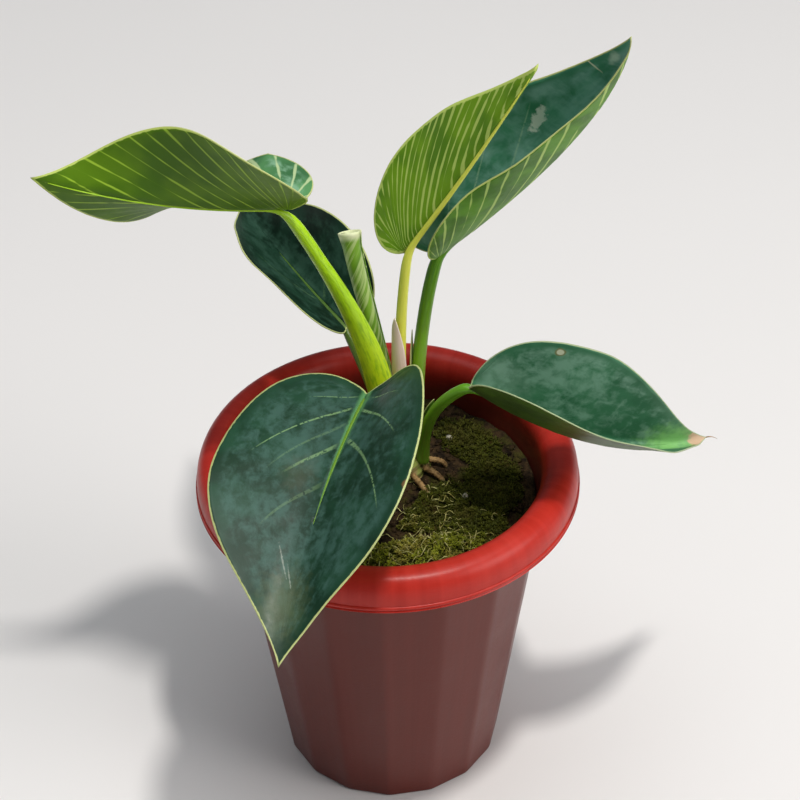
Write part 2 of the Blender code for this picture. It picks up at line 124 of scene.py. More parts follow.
def blendColour(tree, amount, first, second):
    node = tree.nodes.new("ShaderNodeMix")
    node.data_type = "RGBA"
    feed(tree, node.inputs[0], amount)
    feed(tree, node.inputs[6], first)
    feed(tree, node.inputs[7], second)
    return node.outputs[2]


def vectorOf(tree, x, y, z):
    node = tree.nodes.new("ShaderNodeCombineXYZ")
    for socket, value in zip(node.inputs, (x, y, z)):
        feed(tree, socket, value)
    return node.outputs[0]


def splitVector(tree, vector):
    node = tree.nodes.new("ShaderNodeSeparateXYZ")
    tree.links.new(vector, node.inputs[0])
    return node.outputs[0], node.outputs[1], node.outputs[2]


def partsOf(tree, attribute):
    node = tree.nodes.new("ShaderNodeAttribute")
    node.attribute_name = attribute
    return splitVector(tree, node.outputs["Vector"])


def objectPlace(tree):
    return tree.nodes.new("ShaderNodeTexCoord").outputs["Object"]


def grain(tree, place, scale, detail=3.0, roughness=0.55, warp=0.0):
    node = tree.nodes.new("ShaderNodeTexNoise")
    feed(tree, node.inputs["Vector"], place)
    feed(tree, node.inputs["Scale"], scale)
    feed(tree, node.inputs["Detail"], detail)
    feed(tree, node.inputs["Roughness"], roughness)
    feed(tree, node.inputs["Distortion"], warp)
    return node.outputs["Fac"]


def cells(tree, place, scale):
    node = tree.nodes.new("ShaderNodeTexVoronoi")
    feed(tree, node.inputs["Vector"], place)
    feed(tree, node.inputs["Scale"], scale)
    return node.outputs["Distance"]


# The last step of every finish: its colour and its fine relief (depth in metres).
def finishSkin(tree, shader, colour, height, strength, depth):
    tree.links.new(colour, shader.inputs["Base Color"])
    node = tree.nodes.new("ShaderNodeBump")
    feed(tree, node.inputs["Height"], height)
    feed(tree, node.inputs["Strength"], strength)
    feed(tree, node.inputs["Distance"], depth)
    tree.links.new(node.outputs["Normal"], shader.inputs["Normal"])


# Mesh helpers.

def addPiece(name, mesh, skins, slotName, *nodes):
    piece = bpy.data.objects.new(name, mesh)
    bpy.context.scene.collection.objects.link(piece)
    for skin in skins:
        mesh.materials.append(skin)
    mesh.shade_smooth()
    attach(piece, "root")
    if nodes:
        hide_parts(*nodes)
    return piece


def meshFrom(name, points, faces, layers=None):
    mesh = bpy.data.meshes.new(name)
    mesh.from_pydata([tuple(point) for point in points], [], faces)
    for layer, values in (layers or {}).items():
        attribute = mesh.attributes.new(layer, "FLOAT_VECTOR", "POINT")
        attribute.data.foreach_set("vector", np.asarray(values, np.float32).ravel())
    mesh.update()
    return mesh


# Turns a finished bmesh shape into a mesh.
def meshOf(shape, name):
    mesh = bpy.data.meshes.new(name)
    shape.to_mesh(mesh)
    shape.free()
    return mesh


def ringFaces(rows, sides, first=0):
    faces = []
    for row in range(rows - 1):
        for side in range(sides):
            after = (side + 1) % sides
            a = first + row * sides
            faces.append((a + side, a + after, a + sides + after, a + sides + side))
    return faces


# Rings joined up and closed by a flat face at each end.
def closedRings(rows, sides):
    faces = ringFaces(rows, sides)
    faces.append(tuple(range(sides))[::-1])
    faces.append(tuple(range((rows - 1) * sides, rows * sides)))
    return faces


def sheetFaces(rows, columns):
    faces = []
    for row in range(rows - 1):
        for column in range(columns - 1):
            a = row * columns + column
            faces.append((a, a + 1, a + columns + 1, a + columns))
    return faces


def thicken(piece, thickness, offset):
    wall = piece.modifiers.new("thickness", "SOLIDIFY")
    wall.thickness = thickness * mm
    wall.offset = offset
    return wall


def weld(mesh, reach):
    shape = bmesh.new()
    shape.from_mesh(mesh)
    bmesh.ops.remove_doubles(shape, verts=shape.verts, dist=reach)
    flat = [face for face in shape.faces if face.calc_area() < 1e-12]
    bmesh.ops.delete(shape, geom=flat, context="FACES_ONLY")
    shape.to_mesh(mesh)
    shape.free()


def unit(v):
    return v / np.linalg.norm(v)


# Tube along a path. sizes: (across, deep) radii in metres; groove is a lengthwise hollow on the upper side.
def tubeMesh(name, path, sizes, sides=20, upHint=(0, 0, 1), groove=0.0, wobble=0.0, seed=0):
    path = np.asarray(path, float)
    points, marks = [], []
    count = len(path)
    run = np.concatenate([[0], np.cumsum(np.linalg.norm(np.diff(path, axis=0), axis=1))])
    deep = None
    for index in range(count):
        ahead = unit(path[min(index + 1, count - 1)] - path[max(index - 1, 0)])
        hint = np.array(upHint, float) if deep is None else deep
        across = unit(np.cross(ahead, hint))
        deep = np.cross(across, ahead)
        for side in range(sides):
            angle = math.tau * side / sides
            dent = 1 - groove * math.exp(-((angle - math.pi / 2) / 0.45) ** 2)
            if wobble:
                dent += wobble * noise.noise(Vector((side * 0.9, run[index] * 400, seed)))
            offset = across * sizes[index][0] * math.cos(angle) + deep * sizes[index][1] * math.sin(angle)
            points.append(path[index] + offset * dent)
            marks.append((run[index] / run[-1], side / sides, run[index] * 1000))
    faces = [face[::-1] for face in closedRings(count, sides)]
    return meshFrom(name, points, faces, {"stalkPlace": marks})


# What every blade shares, in millimetres; a leaf may have its own veins, veinLag, veinBend and crease.
bladeMake = {
    "rows": 76, "columns": 26, "thickness": 0.45, "crease": 3.0, "veinDepth": 0.16, "midribDepth": 0.16,
    "edgeWave": 0.55, "ripples": 3.2, "tipWidth": 0.22, "veins": 7, "veinLag": 1.7, "veinBend": 0.22,
}


def startFrame(leaf):
    heading, rise, roll = (math.radians(leaf[key]) for key in ("heading", "rise", "roll"))
    ahead = np.array([math.cos(heading), math.sin(heading), math.tan(rise)]) * math.cos(rise)
    left = np.array([-math.sin(heading), math.cos(heading), 0])
    upper = np.cross(ahead, left)
    rolledLeft = left * math.cos(roll) + upper * math.sin(roll)
    rolledUpper = upper * math.cos(roll) - left * math.sin(roll)
    return ahead, rolledLeft, rolledUpper


def joinPoint(leaf):
    across, along, above = leaf["join"]
    return np.array([potAxis.x + across * mm, potAxis.y + along * mm, soilTop + above * mm])


# Points of the blade from flat places in millimetres: along the midrib, and across it to the left.
def bladePoints(leaf, along, across):
    ahead, left, upper = startFrame(leaf)
    length = leaf["length"]
    steps = np.linspace(0, 1, 161)
    droop = np.radians(leaf["droop"]) * steps
    sweep = np.radians(leaf["sweep"]) * steps
    level = np.cos(sweep)[:, None] * ahead + np.sin(sweep)[:, None] * left
    lines = level * np.cos(droop)[:, None] - np.sin(droop)[:, None] * upper
    strides = np.cumsum((lines[1:] + lines[:-1]) / 2, axis=0) * length * mm / 160
    track = np.concatenate([[np.zeros(3)], strides])
    share = np.clip(along / length, 0, 1)
    centre = joinPoint(leaf) + np.stack([np.interp(share, steps, track[:, k]) for k in range(3)], 1)
    centre = centre + (np.minimum(along, 0) * mm)[:, None] * ahead
    droop = np.radians(leaf["droop"]) * share
    sweep = np.radians(leaf["sweep"]) * share
    level = np.cos(sweep)[:, None] * ahead + np.sin(sweep)[:, None] * left
    run = level * np.cos(droop)[:, None] - np.sin(droop)[:, None] * upper
    top = np.sin(droop)[:, None] * ahead + np.cos(droop)[:, None] * upper
    top = top - (top * run).sum(1)[:, None] * run
    top /= np.linalg.norm(top, axis=1)[:, None]
    side = np.cross(top, run)
    twist = np.radians(leaf["twist"]) * share
    sideways = np.cos(twist)[:, None] * side + np.sin(twist)[:, None] * top
    lift = np.cos(twist)[:, None] * top - np.sin(twist)[:, None] * side
    onLeft = across >= 0
    fold = np.radians(np.where(onLeft, leaf["fold"][0], leaf["fold"][1]))
    curl = np.radians(np.where(onLeft, leaf["curl"][0], leaf["curl"][1])) / (leaf["width"] / 2)
    reach = np.abs(across)
    crease = leaf.get("crease", bladeMake["crease"])

    def arc(start, bend, distance):
        half = bend * distance / 2
        chord = distance * np.sinc(half / np.pi)
        return chord * np.cos(start + half), chord * np.sin(start + half)

    firstOut, firstUp = arc(0, fold / crease + curl, np.minimum(reach, crease))
    moreOut, moreUp = arc(fold + curl * crease, curl, np.maximum(reach - crease, 0))
    out = (firstOut + moreOut) * np.where(onLeft, 1, -1) * mm
    up = (firstUp + moreUp) * mm
    return centre + out[:, None] * sideways + up[:, None] * lift


def curveOf(a, b, c, d, t):
    t = t[:, None]
    a, b, c, d = (np.array(p, float) for p in (a, b, c, d))
    return (1 - t) ** 3 * a + 3 * (1 - t) ** 2 * t * b + 3 * (1 - t) * t ** 2 * c + t ** 3 * d


# Flat outline of half a blade in millimetres, from the notch round the lobe to the tip.
def halfOutline(leaf, count, side=1):
    lobe, widest = leaf["lobe"], leaf["widest"]
    if side == leaf.get("smallLobe"):
        lobe *= 0.35
    half = count // 2
    nearTip = (0.80, bladeMake["tipWidth"])
    back = curveOf((0, 0), (-1.9 * lobe, 0.30), (-lobe, 1), (widest, 1), np.linspace(0, 1, half + 1))
    front = curveOf((widest, 1), (widest + 0.26, 1), nearTip, (1, 0), np.linspace(0, 1, count - half + 1))
    flat = np.concatenate([back[1:], front[1:]])
    return flat * (leaf["length"], leaf["width"] / 2)


# One half of a blade: the rows follow the side veins from the midrib to the margin.
def addHalf(leaf, side, wave, points, faces, places, veins):
    rows, columns = bladeMake["rows"], bladeMake["columns"]
    length = leaf["length"]
    margin = halfOutline(leaf, rows, side)
    fine = np.concatenate([[(0, 0)], halfOutline(leaf, 260, side)])
    travelled = np.concatenate([[0], np.cumsum(np.linalg.norm(np.diff(margin, axis=0), axis=1))])
    vein = travelled / travelled[-1]
    share = np.linspace(0, 1, columns)
    root = length * np.clip(margin[:, 0] / length, 0, 1) ** leaf.get("veinLag", bladeMake["veinLag"])
    bendAlong = root + (margin[:, 0] - root) * leaf.get("veinBend", bladeMake["veinBend"])
    bendAcross = margin[:, 1] * 0.60
    r = share[None, :]
    along = (1 - r) ** 2 * root[:, None] + 2 * r * (1 - r) * bendAlong[:, None] + r ** 2 * margin[:, :1]
    across = 2 * r * (1 - r) * bendAcross[:, None] + r ** 2 * margin[:, 1:]
    spots = np.stack([along.ravel(), across.ravel()], 1)
    starts, ends = fine[:-1], fine[1:]
    lean = ends - starts
    gap = spots[:, None] - starts[None]
    hit = np.clip((gap * lean).sum(2) / np.maximum((lean ** 2).sum(1), 1e-9), 0, 1)
    edge = np.linalg.norm(gap - lean * hit[..., None], axis=2).min(1)
    grid = bladePoints(leaf, along.ravel(), np.maximum(across.ravel(), 1e-6) * side)
    grid = grid.reshape(rows, columns, 3)
    normal = np.cross(np.gradient(grid, axis=0), np.gradient(grid, axis=1)) * side
    normal = normal / np.maximum(np.linalg.norm(normal, axis=2, keepdims=True), 1e-12)
    normal[:, 0] = normal[:, 1]
    phase = np.abs((vein * leaf.get("veins", bladeMake["veins"])) % 1 - 0.5) * 2
    sunk = np.exp(-((1 - phase) / 0.16) ** 2)[:, None] * np.sin(np.pi * np.clip(r, 0.02, 0.97)) ** 0.4
    groove = np.exp(-(across / 1.1) ** 2) * np.clip(1 - along / length, 0, 1) ** 0.5
    ripple = np.sin(vein * 2 * np.pi * bladeMake["ripples"] + wave.uniform(0, 6))[:, None] * r ** 3
    shift = (-bladeMake["veinDepth"] * sunk - bladeMake["midribDepth"] * groove
             + bladeMake["edgeWave"] * ripple * np.sin(np.pi * vein)[:, None])
    grid = grid + normal * (shift * mm)[..., None]
    first = len(points)
    points += list(grid.reshape(-1, 3))
    places += list(np.stack([along.ravel(), across.ravel() * side, edge], 1))
    sides = np.full(rows * columns, side)
    veins += list(np.stack([np.repeat(vein, columns), np.tile(share, rows), sides], 1))
    for row in range(rows - 1):
        for column in range(columns - 1):
            corner = first + row * columns + column
            quad = (corner, corner + columns, corner + columns + 1, corner + 1)
            faces.append(quad if side > 0 else quad[::-1])


def makeBlade(leaf, upperSkin, underSkin):
    wave = random.Random(leaf["seed"])
    points, faces, places, veins = [], [], [], []
    for side in (1, -1):
        addHalf(leaf, side, wave, points, faces, places, veins)
    mesh = meshFrom("blade", points, faces, {"leafPlace": places, "veinPlace": veins})
    weld(mesh, 0.00002)
    name = leaf["name"]
    piece = addPiece("leafBlade_" + name, mesh, [upperSkin, underSkin], leaf["slot"], "blade_" + name)
    wall = thicken(piece, bladeMake["thickness"], 0)
    wall.material_offset = 1
    wall.material_offset_rim = 0


# Ends and handles of a stalk's curve: sunk into the stem's top, and stopping a little below the join.
def stalkBend(leaf, sunk, below):
    across, along = leaf["foot"]
    foot = np.array([stemAxis.x + across * mm, stemAxis.y + along * mm, stemTop - sunk * mm])
    join = joinPoint(leaf)
    ahead, _, upper = startFrame(leaf)
    finish = join - upper * below * mm
    reach = np.linalg.norm(join - foot) * 0.35
    arrive = unit(unit(join - foot) * (1 - leaf["ease"]) + ahead * leaf["ease"])
    return foot, foot + np.array([0, 0, reach]), finish - arrive * reach, finish


# Stalk from the stem's top to the blade, running on under the blade as its midrib.
def makeStalk(leaf, skin):
    tip = leaf["stalkTip"]
    bend = [Vector(point) for point in stalkBend(leaf, 1.5, tip * 0.75)]
    stalk = [np.array(point) for point in interpolate_bezier(*bend, 44)]
    ribAlong = np.linspace(2.0, leaf["length"] * 0.93, 40)
    rib = bladePoints(leaf, ribAlong, np.full(40, 1e-6))
    beside = bladePoints(leaf, ribAlong, np.full(40, 0.4))
    ribRun = np.gradient(rib, axis=0)
    under = np.cross(ribRun, beside - rib)
    under = -under / np.linalg.norm(under, axis=1)[:, None]
    ribSize = leaf["rib"] * (1 - np.linspace(0, 1, 40)) ** 0.8 + 0.16
    sunk = bladeMake["thickness"] * 0.5 + bladeMake["midribDepth"] + ribSize * 0.15
    rib = rib + under * (sunk * mm)[:, None]
    path = np.array(stalk + list(rib))
    sheath = leaf.get("sheath", (0, 0, 0, 0))  # how much wider than round at four places up the stalk
    sizes = []
    for index in range(44):
        share = index / 43
        radius = leaf["stalkFoot"] + (tip - leaf["stalkFoot"]) * share ** 0.7
        wide = 1 + float(np.interp(share, (0.0, 0.2, 0.45, 0.8), sheath))
        sizes.append([radius * wide, radius])
        path[index, 0] += radius * (wide - 1) * 0.95 * mm
    sizes += [[radius, radius] for radius in ribSize]
    sizes = np.array(sizes)
    for _ in range(6):  # eases the turn from stalk to midrib
        path[38:54] = (path[37:53] + path[38:54] * 2 + path[39:55]) / 4
        sizes[38:54] = (sizes[37:53] + sizes[38:54] * 2 + sizes[39:55]) / 4
    name = leaf["name"]
    mesh = tubeMesh("stalk", path, sizes * mm, 18, (0, 1, 0), 0.10)
    addPiece("leafStalk_" + name, mesh, [skin], leaf["stalkSlot"], "petiole_" + name)


# Colours are linear. The look of one face of a blade; whatever a face leaves out is taken from here.
plainFace = {
    # On the next line, the third colour is painted sheen.
    "deep": (0.010, 0.045, 0.020), "green": (0.020, 0.085, 0.038), "paintedSheen": (0.10, 0.20, 0.17),
    "paintedSheenShare": 0.0, "paintedSheenSize": 5.0, "paintedSheenStretch": 0.5, "bareEdge": 3.0, "paintedSheenSoft": 0.09,
    "paintedSheenStrength": 0.8, "vein": (0.16, 0.30, 0.12), "strokes": (),
    "cream": (0.55, 0.62, 0.22), "creamWidth": 0.0, "creamLines": 26, "creamSway": 1.2,
    "edge": (0.50, 0.55, 0.22), "edgeWidth": 0.55,
    "midrib": (0.30, 0.45, 0.12), "midribWidth": 0.9, "midribReach": 0.5,
    "roughness": 0.42, "specular": 0.5, "spots": (),
}


def bladeSkin(name, leaf, changes):
    look = {**plainFace, **changes}
    skin, tree, shader = newSkin(name, look["roughness"], look["specular"])
    along, across, edge = partsOf(tree, "leafPlace")
    vein, share, side = partsOf(tree, "veinPlace")
    seed = leaf["seed"] * 7.3
    flat = vectorOf(tree, along, across, seed)
    reach = absolute(tree, across)

    # Broad change from deep green to lighter green.
    broad = grain(tree, flat, 0.055, 2.0)
    colour = blendColour(tree, ramp(tree, broad, 0.38, 0.62), look["deep"], look["green"])

    # Cloudy blue-grey patches of painted sheen, the light on the waxy surface, drawn out along the veins,
    # missing next to the edge.
    drawn = vectorOf(tree, times(tree, vein, 130 / look["paintedSheenSize"]),
                     times(tree, share, 130 * look["paintedSheenStretch"] / look["paintedSheenSize"]),
                     plus(tree, side, seed))
    cloud = grain(tree, flat, 1 / look["paintedSheenSize"], 4.0, 0.62, 0.35)
    streak = grain(tree, drawn, 0.42, 4.0, 0.6, 0.2)
    cloud = plus(tree, times(tree, cloud, 0.55), times(tree, streak, 0.45))
    wide = grain(tree, flat, 0.028, 1.0)
    cloud = plus(tree, cloud, times(tree, less(tree, wide, 0.5), 0.35))
    middle = 0.61 - look["paintedSheenShare"] * 0.15
    paintedSheen = ramp(tree, cloud, middle - look["paintedSheenSoft"], middle + look["paintedSheenSoft"])
    paintedSheen = times(tree, paintedSheen, ramp(tree, edge, look["bareEdge"] * 0.4, look["bareEdge"] * 1.6))
    paintedSheen = times(tree, paintedSheen, look["paintedSheenStrength"] if look["paintedSheenShare"] else 0.0)
    colour = blendColour(tree, paintedSheen, colour, look["paintedSheen"])

    # Cream stripes along the veins; each one swells, thins and breaks off by itself.
    fanned = vectorOf(tree, times(tree, vein, look["creamLines"] * 0.35),
                      times(tree, share, 0.7), plus(tree, side, seed))
    sway = times(tree, grain(tree, fanned, 1.0, 2.0, 0.5), look["creamSway"])
    phase = sums(tree, "FRACT", plus(tree, times(tree, vein, look["creamLines"]), sway))
    offLine = absolute(tree, less(tree, phase, 0.5))
    swell = vectorOf(tree, times(tree, vein, look["creamLines"]),
                     times(tree, share, 2.6), plus(tree, side, seed + 4))
    width = times(tree, ramp(tree, grain(tree, swell, 1.0, 2.0, 0.6), 0.30, 0.68), look["creamWidth"])
    lines = ramp(tree, less(tree, offLine, width), 0.02, -0.06)
    lines = times(tree, lines, 1.0 if look["creamWidth"] else 0.0)
    colour = blendColour(tree, times(tree, lines, 0.9), colour, look["cream"])

    # Single pale veins: side, place round the margin at their start and end, how far out they
    # start and end, strength.
    ragged = grain(tree, flat, 0.9, 2.0)
    for sideOf, start, end, near, far, strength in look["strokes"]:
        slope = (end - start) / (far - near)
        aim = plus(tree, times(tree, less(tree, share, near), slope), start)
        away = absolute(tree, less(tree, vein, aim))
        away = times(tree, away, plus(tree, share, 0.25))
        line = ramp(tree, away, 0.0034, 0.0012)
        line = times(tree, line, ramp(tree, share, near - 0.03, near + 0.03))
        line = times(tree, line, ramp(tree, share, far + 0.05, far - 0.10))
        line = times(tree, line, ramp(tree, times(tree, side, sideOf), 0.2, 0.6))
        line = times(tree, line, ramp(tree, ragged, 0.34, 0.50))
        colour = blendColour(tree, times(tree, line, strength), colour, look["vein"])

    for spot in look["spots"]:
        colour = spotOn(tree, colour, along, across, flat, spot)

    # Midrib: a wedge that narrows towards the tip.
    left = less(tree, look["midribReach"], over(tree, along, leaf["length"]), clamp=True)
    half = times(tree, over(tree, left, look["midribReach"]), look["midribWidth"])
    half = times(tree, half, plus(tree, grain(tree, flat, 0.45, 4.0, 0.7), 0.5))
    ridge = ramp(tree, reach, half, times(tree, half, 0.25))
    ridge = times(tree, ridge, ramp(tree, left, 0.0, 0.08))
    colour = blendColour(tree, ridge, colour, look["midrib"])

    uneven = times(tree, plus(tree, grain(tree, flat, 0.5, 2.0), 0.45), look["edgeWidth"])
    rim = ramp(tree, edge, uneven, times(tree, uneven, 0.6))
    colour = blendColour(tree, rim, colour, look["edge"])

    rough = times(tree, less(tree, grain(tree, flat, 0.4, 3.0), 0.5), 0.22)
    rough = plus(tree, rough, times(tree, paintedSheen, 0.10))
    tree.links.new(plus(tree, rough, look["roughness"]), shader.inputs["Roughness"])

    skinCells = cells(tree, flat, 2.6)
    height = plus(tree, times(tree, skinCells, 0.30), times(tree, lines, -0.25))
    height = plus(tree, height, times(tree, grain(tree, drawn, 0.7, 2.0), 0.6))
    finishSkin(tree, shader, colour, height, 0.22, 0.00022)
    return skin


# A local mark: where it lies on the blade and how large (millimetres), how ragged, its colour and strength.
def spotOn(tree, colour, along, across, flat, spot):
    ahead = less(tree, along, spot["at"][0])
    aside = less(tree, across, spot["at"][1])
    if "turn" in spot:
        turn = math.radians(spot["turn"])
        turned = plus(tree, times(tree, ahead, math.cos(turn)), times(tree, aside, math.sin(turn)))
        aside = less(tree, times(tree, aside, math.cos(turn)), times(tree, ahead, math.sin(turn)))
        ahead = turned
    away = hypotenuse(tree, over(tree, ahead, spot["size"][0]), over(tree, aside, spot["size"][1]))
    ragged = grain(tree, flat, spot.get("grain", 0.35), 3.0)
    away = plus(tree, away, times(tree, less(tree, ragged, 0.5), spot.get("ragged", 1.0)))
    amount = ramp(tree, away, 1.0, 1.0 - spot.get("soft", 0.4))
    return blendColour(tree, times(tree, amount, spot.get("strength", 0.8)), colour, spot["colour"])


def stalkSkin(name, look):
    skin, tree, shader = newSkin(name, 0.36)
    share, turn, run = partsOf(tree, "stalkPlace")
    place = vectorOf(tree, times(tree, turn, 9.0), times(tree, run, 0.05), look["seed"])
    colour = blendColour(tree, ramp(tree, share, 0.0, 0.45), look["foot"], look["top"])
    streak = grain(tree, place, 3.0, 3.0)
    colour = blendColour(tree, ramp(tree, streak, 0.42, 0.7), colour, look["streak"])
    fine = grain(tree, vectorOf(tree, times(tree, turn, 40), times(tree, run, 0.6), 2.0), 1.0, 2.0)
    colour = blendColour(tree, times(tree, ramp(tree, fine, 0.62, 0.72), 0.35), colour, look["fleck"])
    tree.links.new(plus(tree, times(tree, fine, 0.18), 0.27), shader.inputs["Roughness"])
    finishSkin(tree, shader, colour, plus(tree, streak, times(tree, fine, 0.4)), 0.35, 0.0003)
    return skin


print("leaves: colours and blades")

# Every leaf: its join from the pot's axis and the soil, its midrib's angles, its flat size, how its two
# halves fold and curl, and its stalk's foot from the stem's middle; millimetres and degrees.
leaves = [
    {
        "name": "front", "slot": "blade_dark", "stalkSlot": "petiole_green", "seed": 11,
        "join": (-7.0, -20.0, 64.0), "heading": -110.5, "rise": -2.7, "roll": 20,
        "droop": 28, "sweep": -2, "twist": -17.5, "length": 119.0, "width": 84.0,
        "lobe": 0.063, "widest": 0.41, "fold": (34.2, 28.4), "curl": (-17.5, -3), "crease": 10.0,
        "foot": (0.5, -7.0), "stalkFoot": 2.8, "stalkTip": 2.1, "ease": 0.35, "rib": 0.9,
    },
    {
        "name": "left", "slot": "blade_striped", "stalkSlot": "petiole_lime", "seed": 12,
        "join": (-34.0, 2.0, 132.5), "heading": 193, "rise": 6.7, "roll": 14,
        "droop": -14, "sweep": -18.5, "twist": 80, "length": 92.5, "width": 82.5,
        "lobe": 0.142, "widest": 0.307, "fold": (34, 16), "curl": (-14, 1),
        "foot": (-5.2, -2.5), "stalkFoot": 3.9, "stalkTip": 2.3, "ease": 0.20, "rib": 0.35, "veins": 11,
        "veinLag": 4.5, "veinBend": 0.42, "smallLobe": 1, "sheath": (0.5, 0.75, 0.55, 0),
    },
    {
        "name": "back", "slot": "blade_dark", "stalkSlot": "petiole_dark", "seed": 13,
        "join": (-15.0, 44.5, 45.2), "heading": 124, "rise": 7, "roll": -8,
        "droop": 15, "sweep": -12.5, "twist": -2, "length": 99.0, "width": 63.0,
        "lobe": 0.059, "widest": 0.279, "fold": (48, 49), "curl": (6, 9),
        "foot": (-4.8, 6.6), "stalkFoot": 2.6, "stalkTip": 2.0, "ease": 0.30, "rib": 0.9,
    },
    {
        "name": "centre", "slot": "blade_striped", "stalkSlot": "petiole_yellow", "seed": 14,
        "join": (8.5, 14.5, 103.5), "heading": -15.5, "rise": 59, "roll": -43,
        "droop": -2, "sweep": -4.5, "twist": -10, "length": 101.0, "width": 64.0,
        "lobe": 0.082, "widest": 0.25, "fold": (80, 89), "curl": (5, 9),
        "foot": (1.6, -0.2), "stalkFoot": 2.9, "stalkTip": 1.8, "ease": 0.20, "rib": 1.0, "veins": 12,
        "veinLag": 3.2, "veinBend": 0.38,
    },
    {
        "name": "tall", "slot": "blade_dark", "stalkSlot": "petiole_green", "seed": 15,
        "join": (20.0, 31.0, 90.0), "heading": 14, "rise": 32.5, "roll": 28,
        "droop": -69, "sweep": -11, "twist": -2, "length": 140.0, "width": 75.5,
        "lobe": 0.05, "widest": 0.272, "fold": (39, 70), "curl": (8, 26),
        "foot": (7.6, 2.5), "stalkFoot": 2.9, "stalkTip": 2.5, "ease": 0.20, "rib": 1.1, "veins": 9,
        "veinLag": 3.2, "veinBend": 0.38, "smallLobe": -1,
    },
    {
        "name": "low", "slot": "blade_dark", "stalkSlot": "petiole_green", "seed": 16,
        "join": (32.0, -8.0, 57.0), "heading": -8, "rise": -37.5, "roll": 30.5,
        "droop": 12, "sweep": 46, "twist": -4.5, "length": 117.5, "width": 79.0,
        "lobe": 0.022, "widest": 0.308, "fold": (55, 85), "curl": (1, -13.5),
        "foot": (10.0, -4.5), "stalkFoot": 2.6, "stalkTip": 2.2, "ease": 0.30, "rib": 0.9,
    },
]

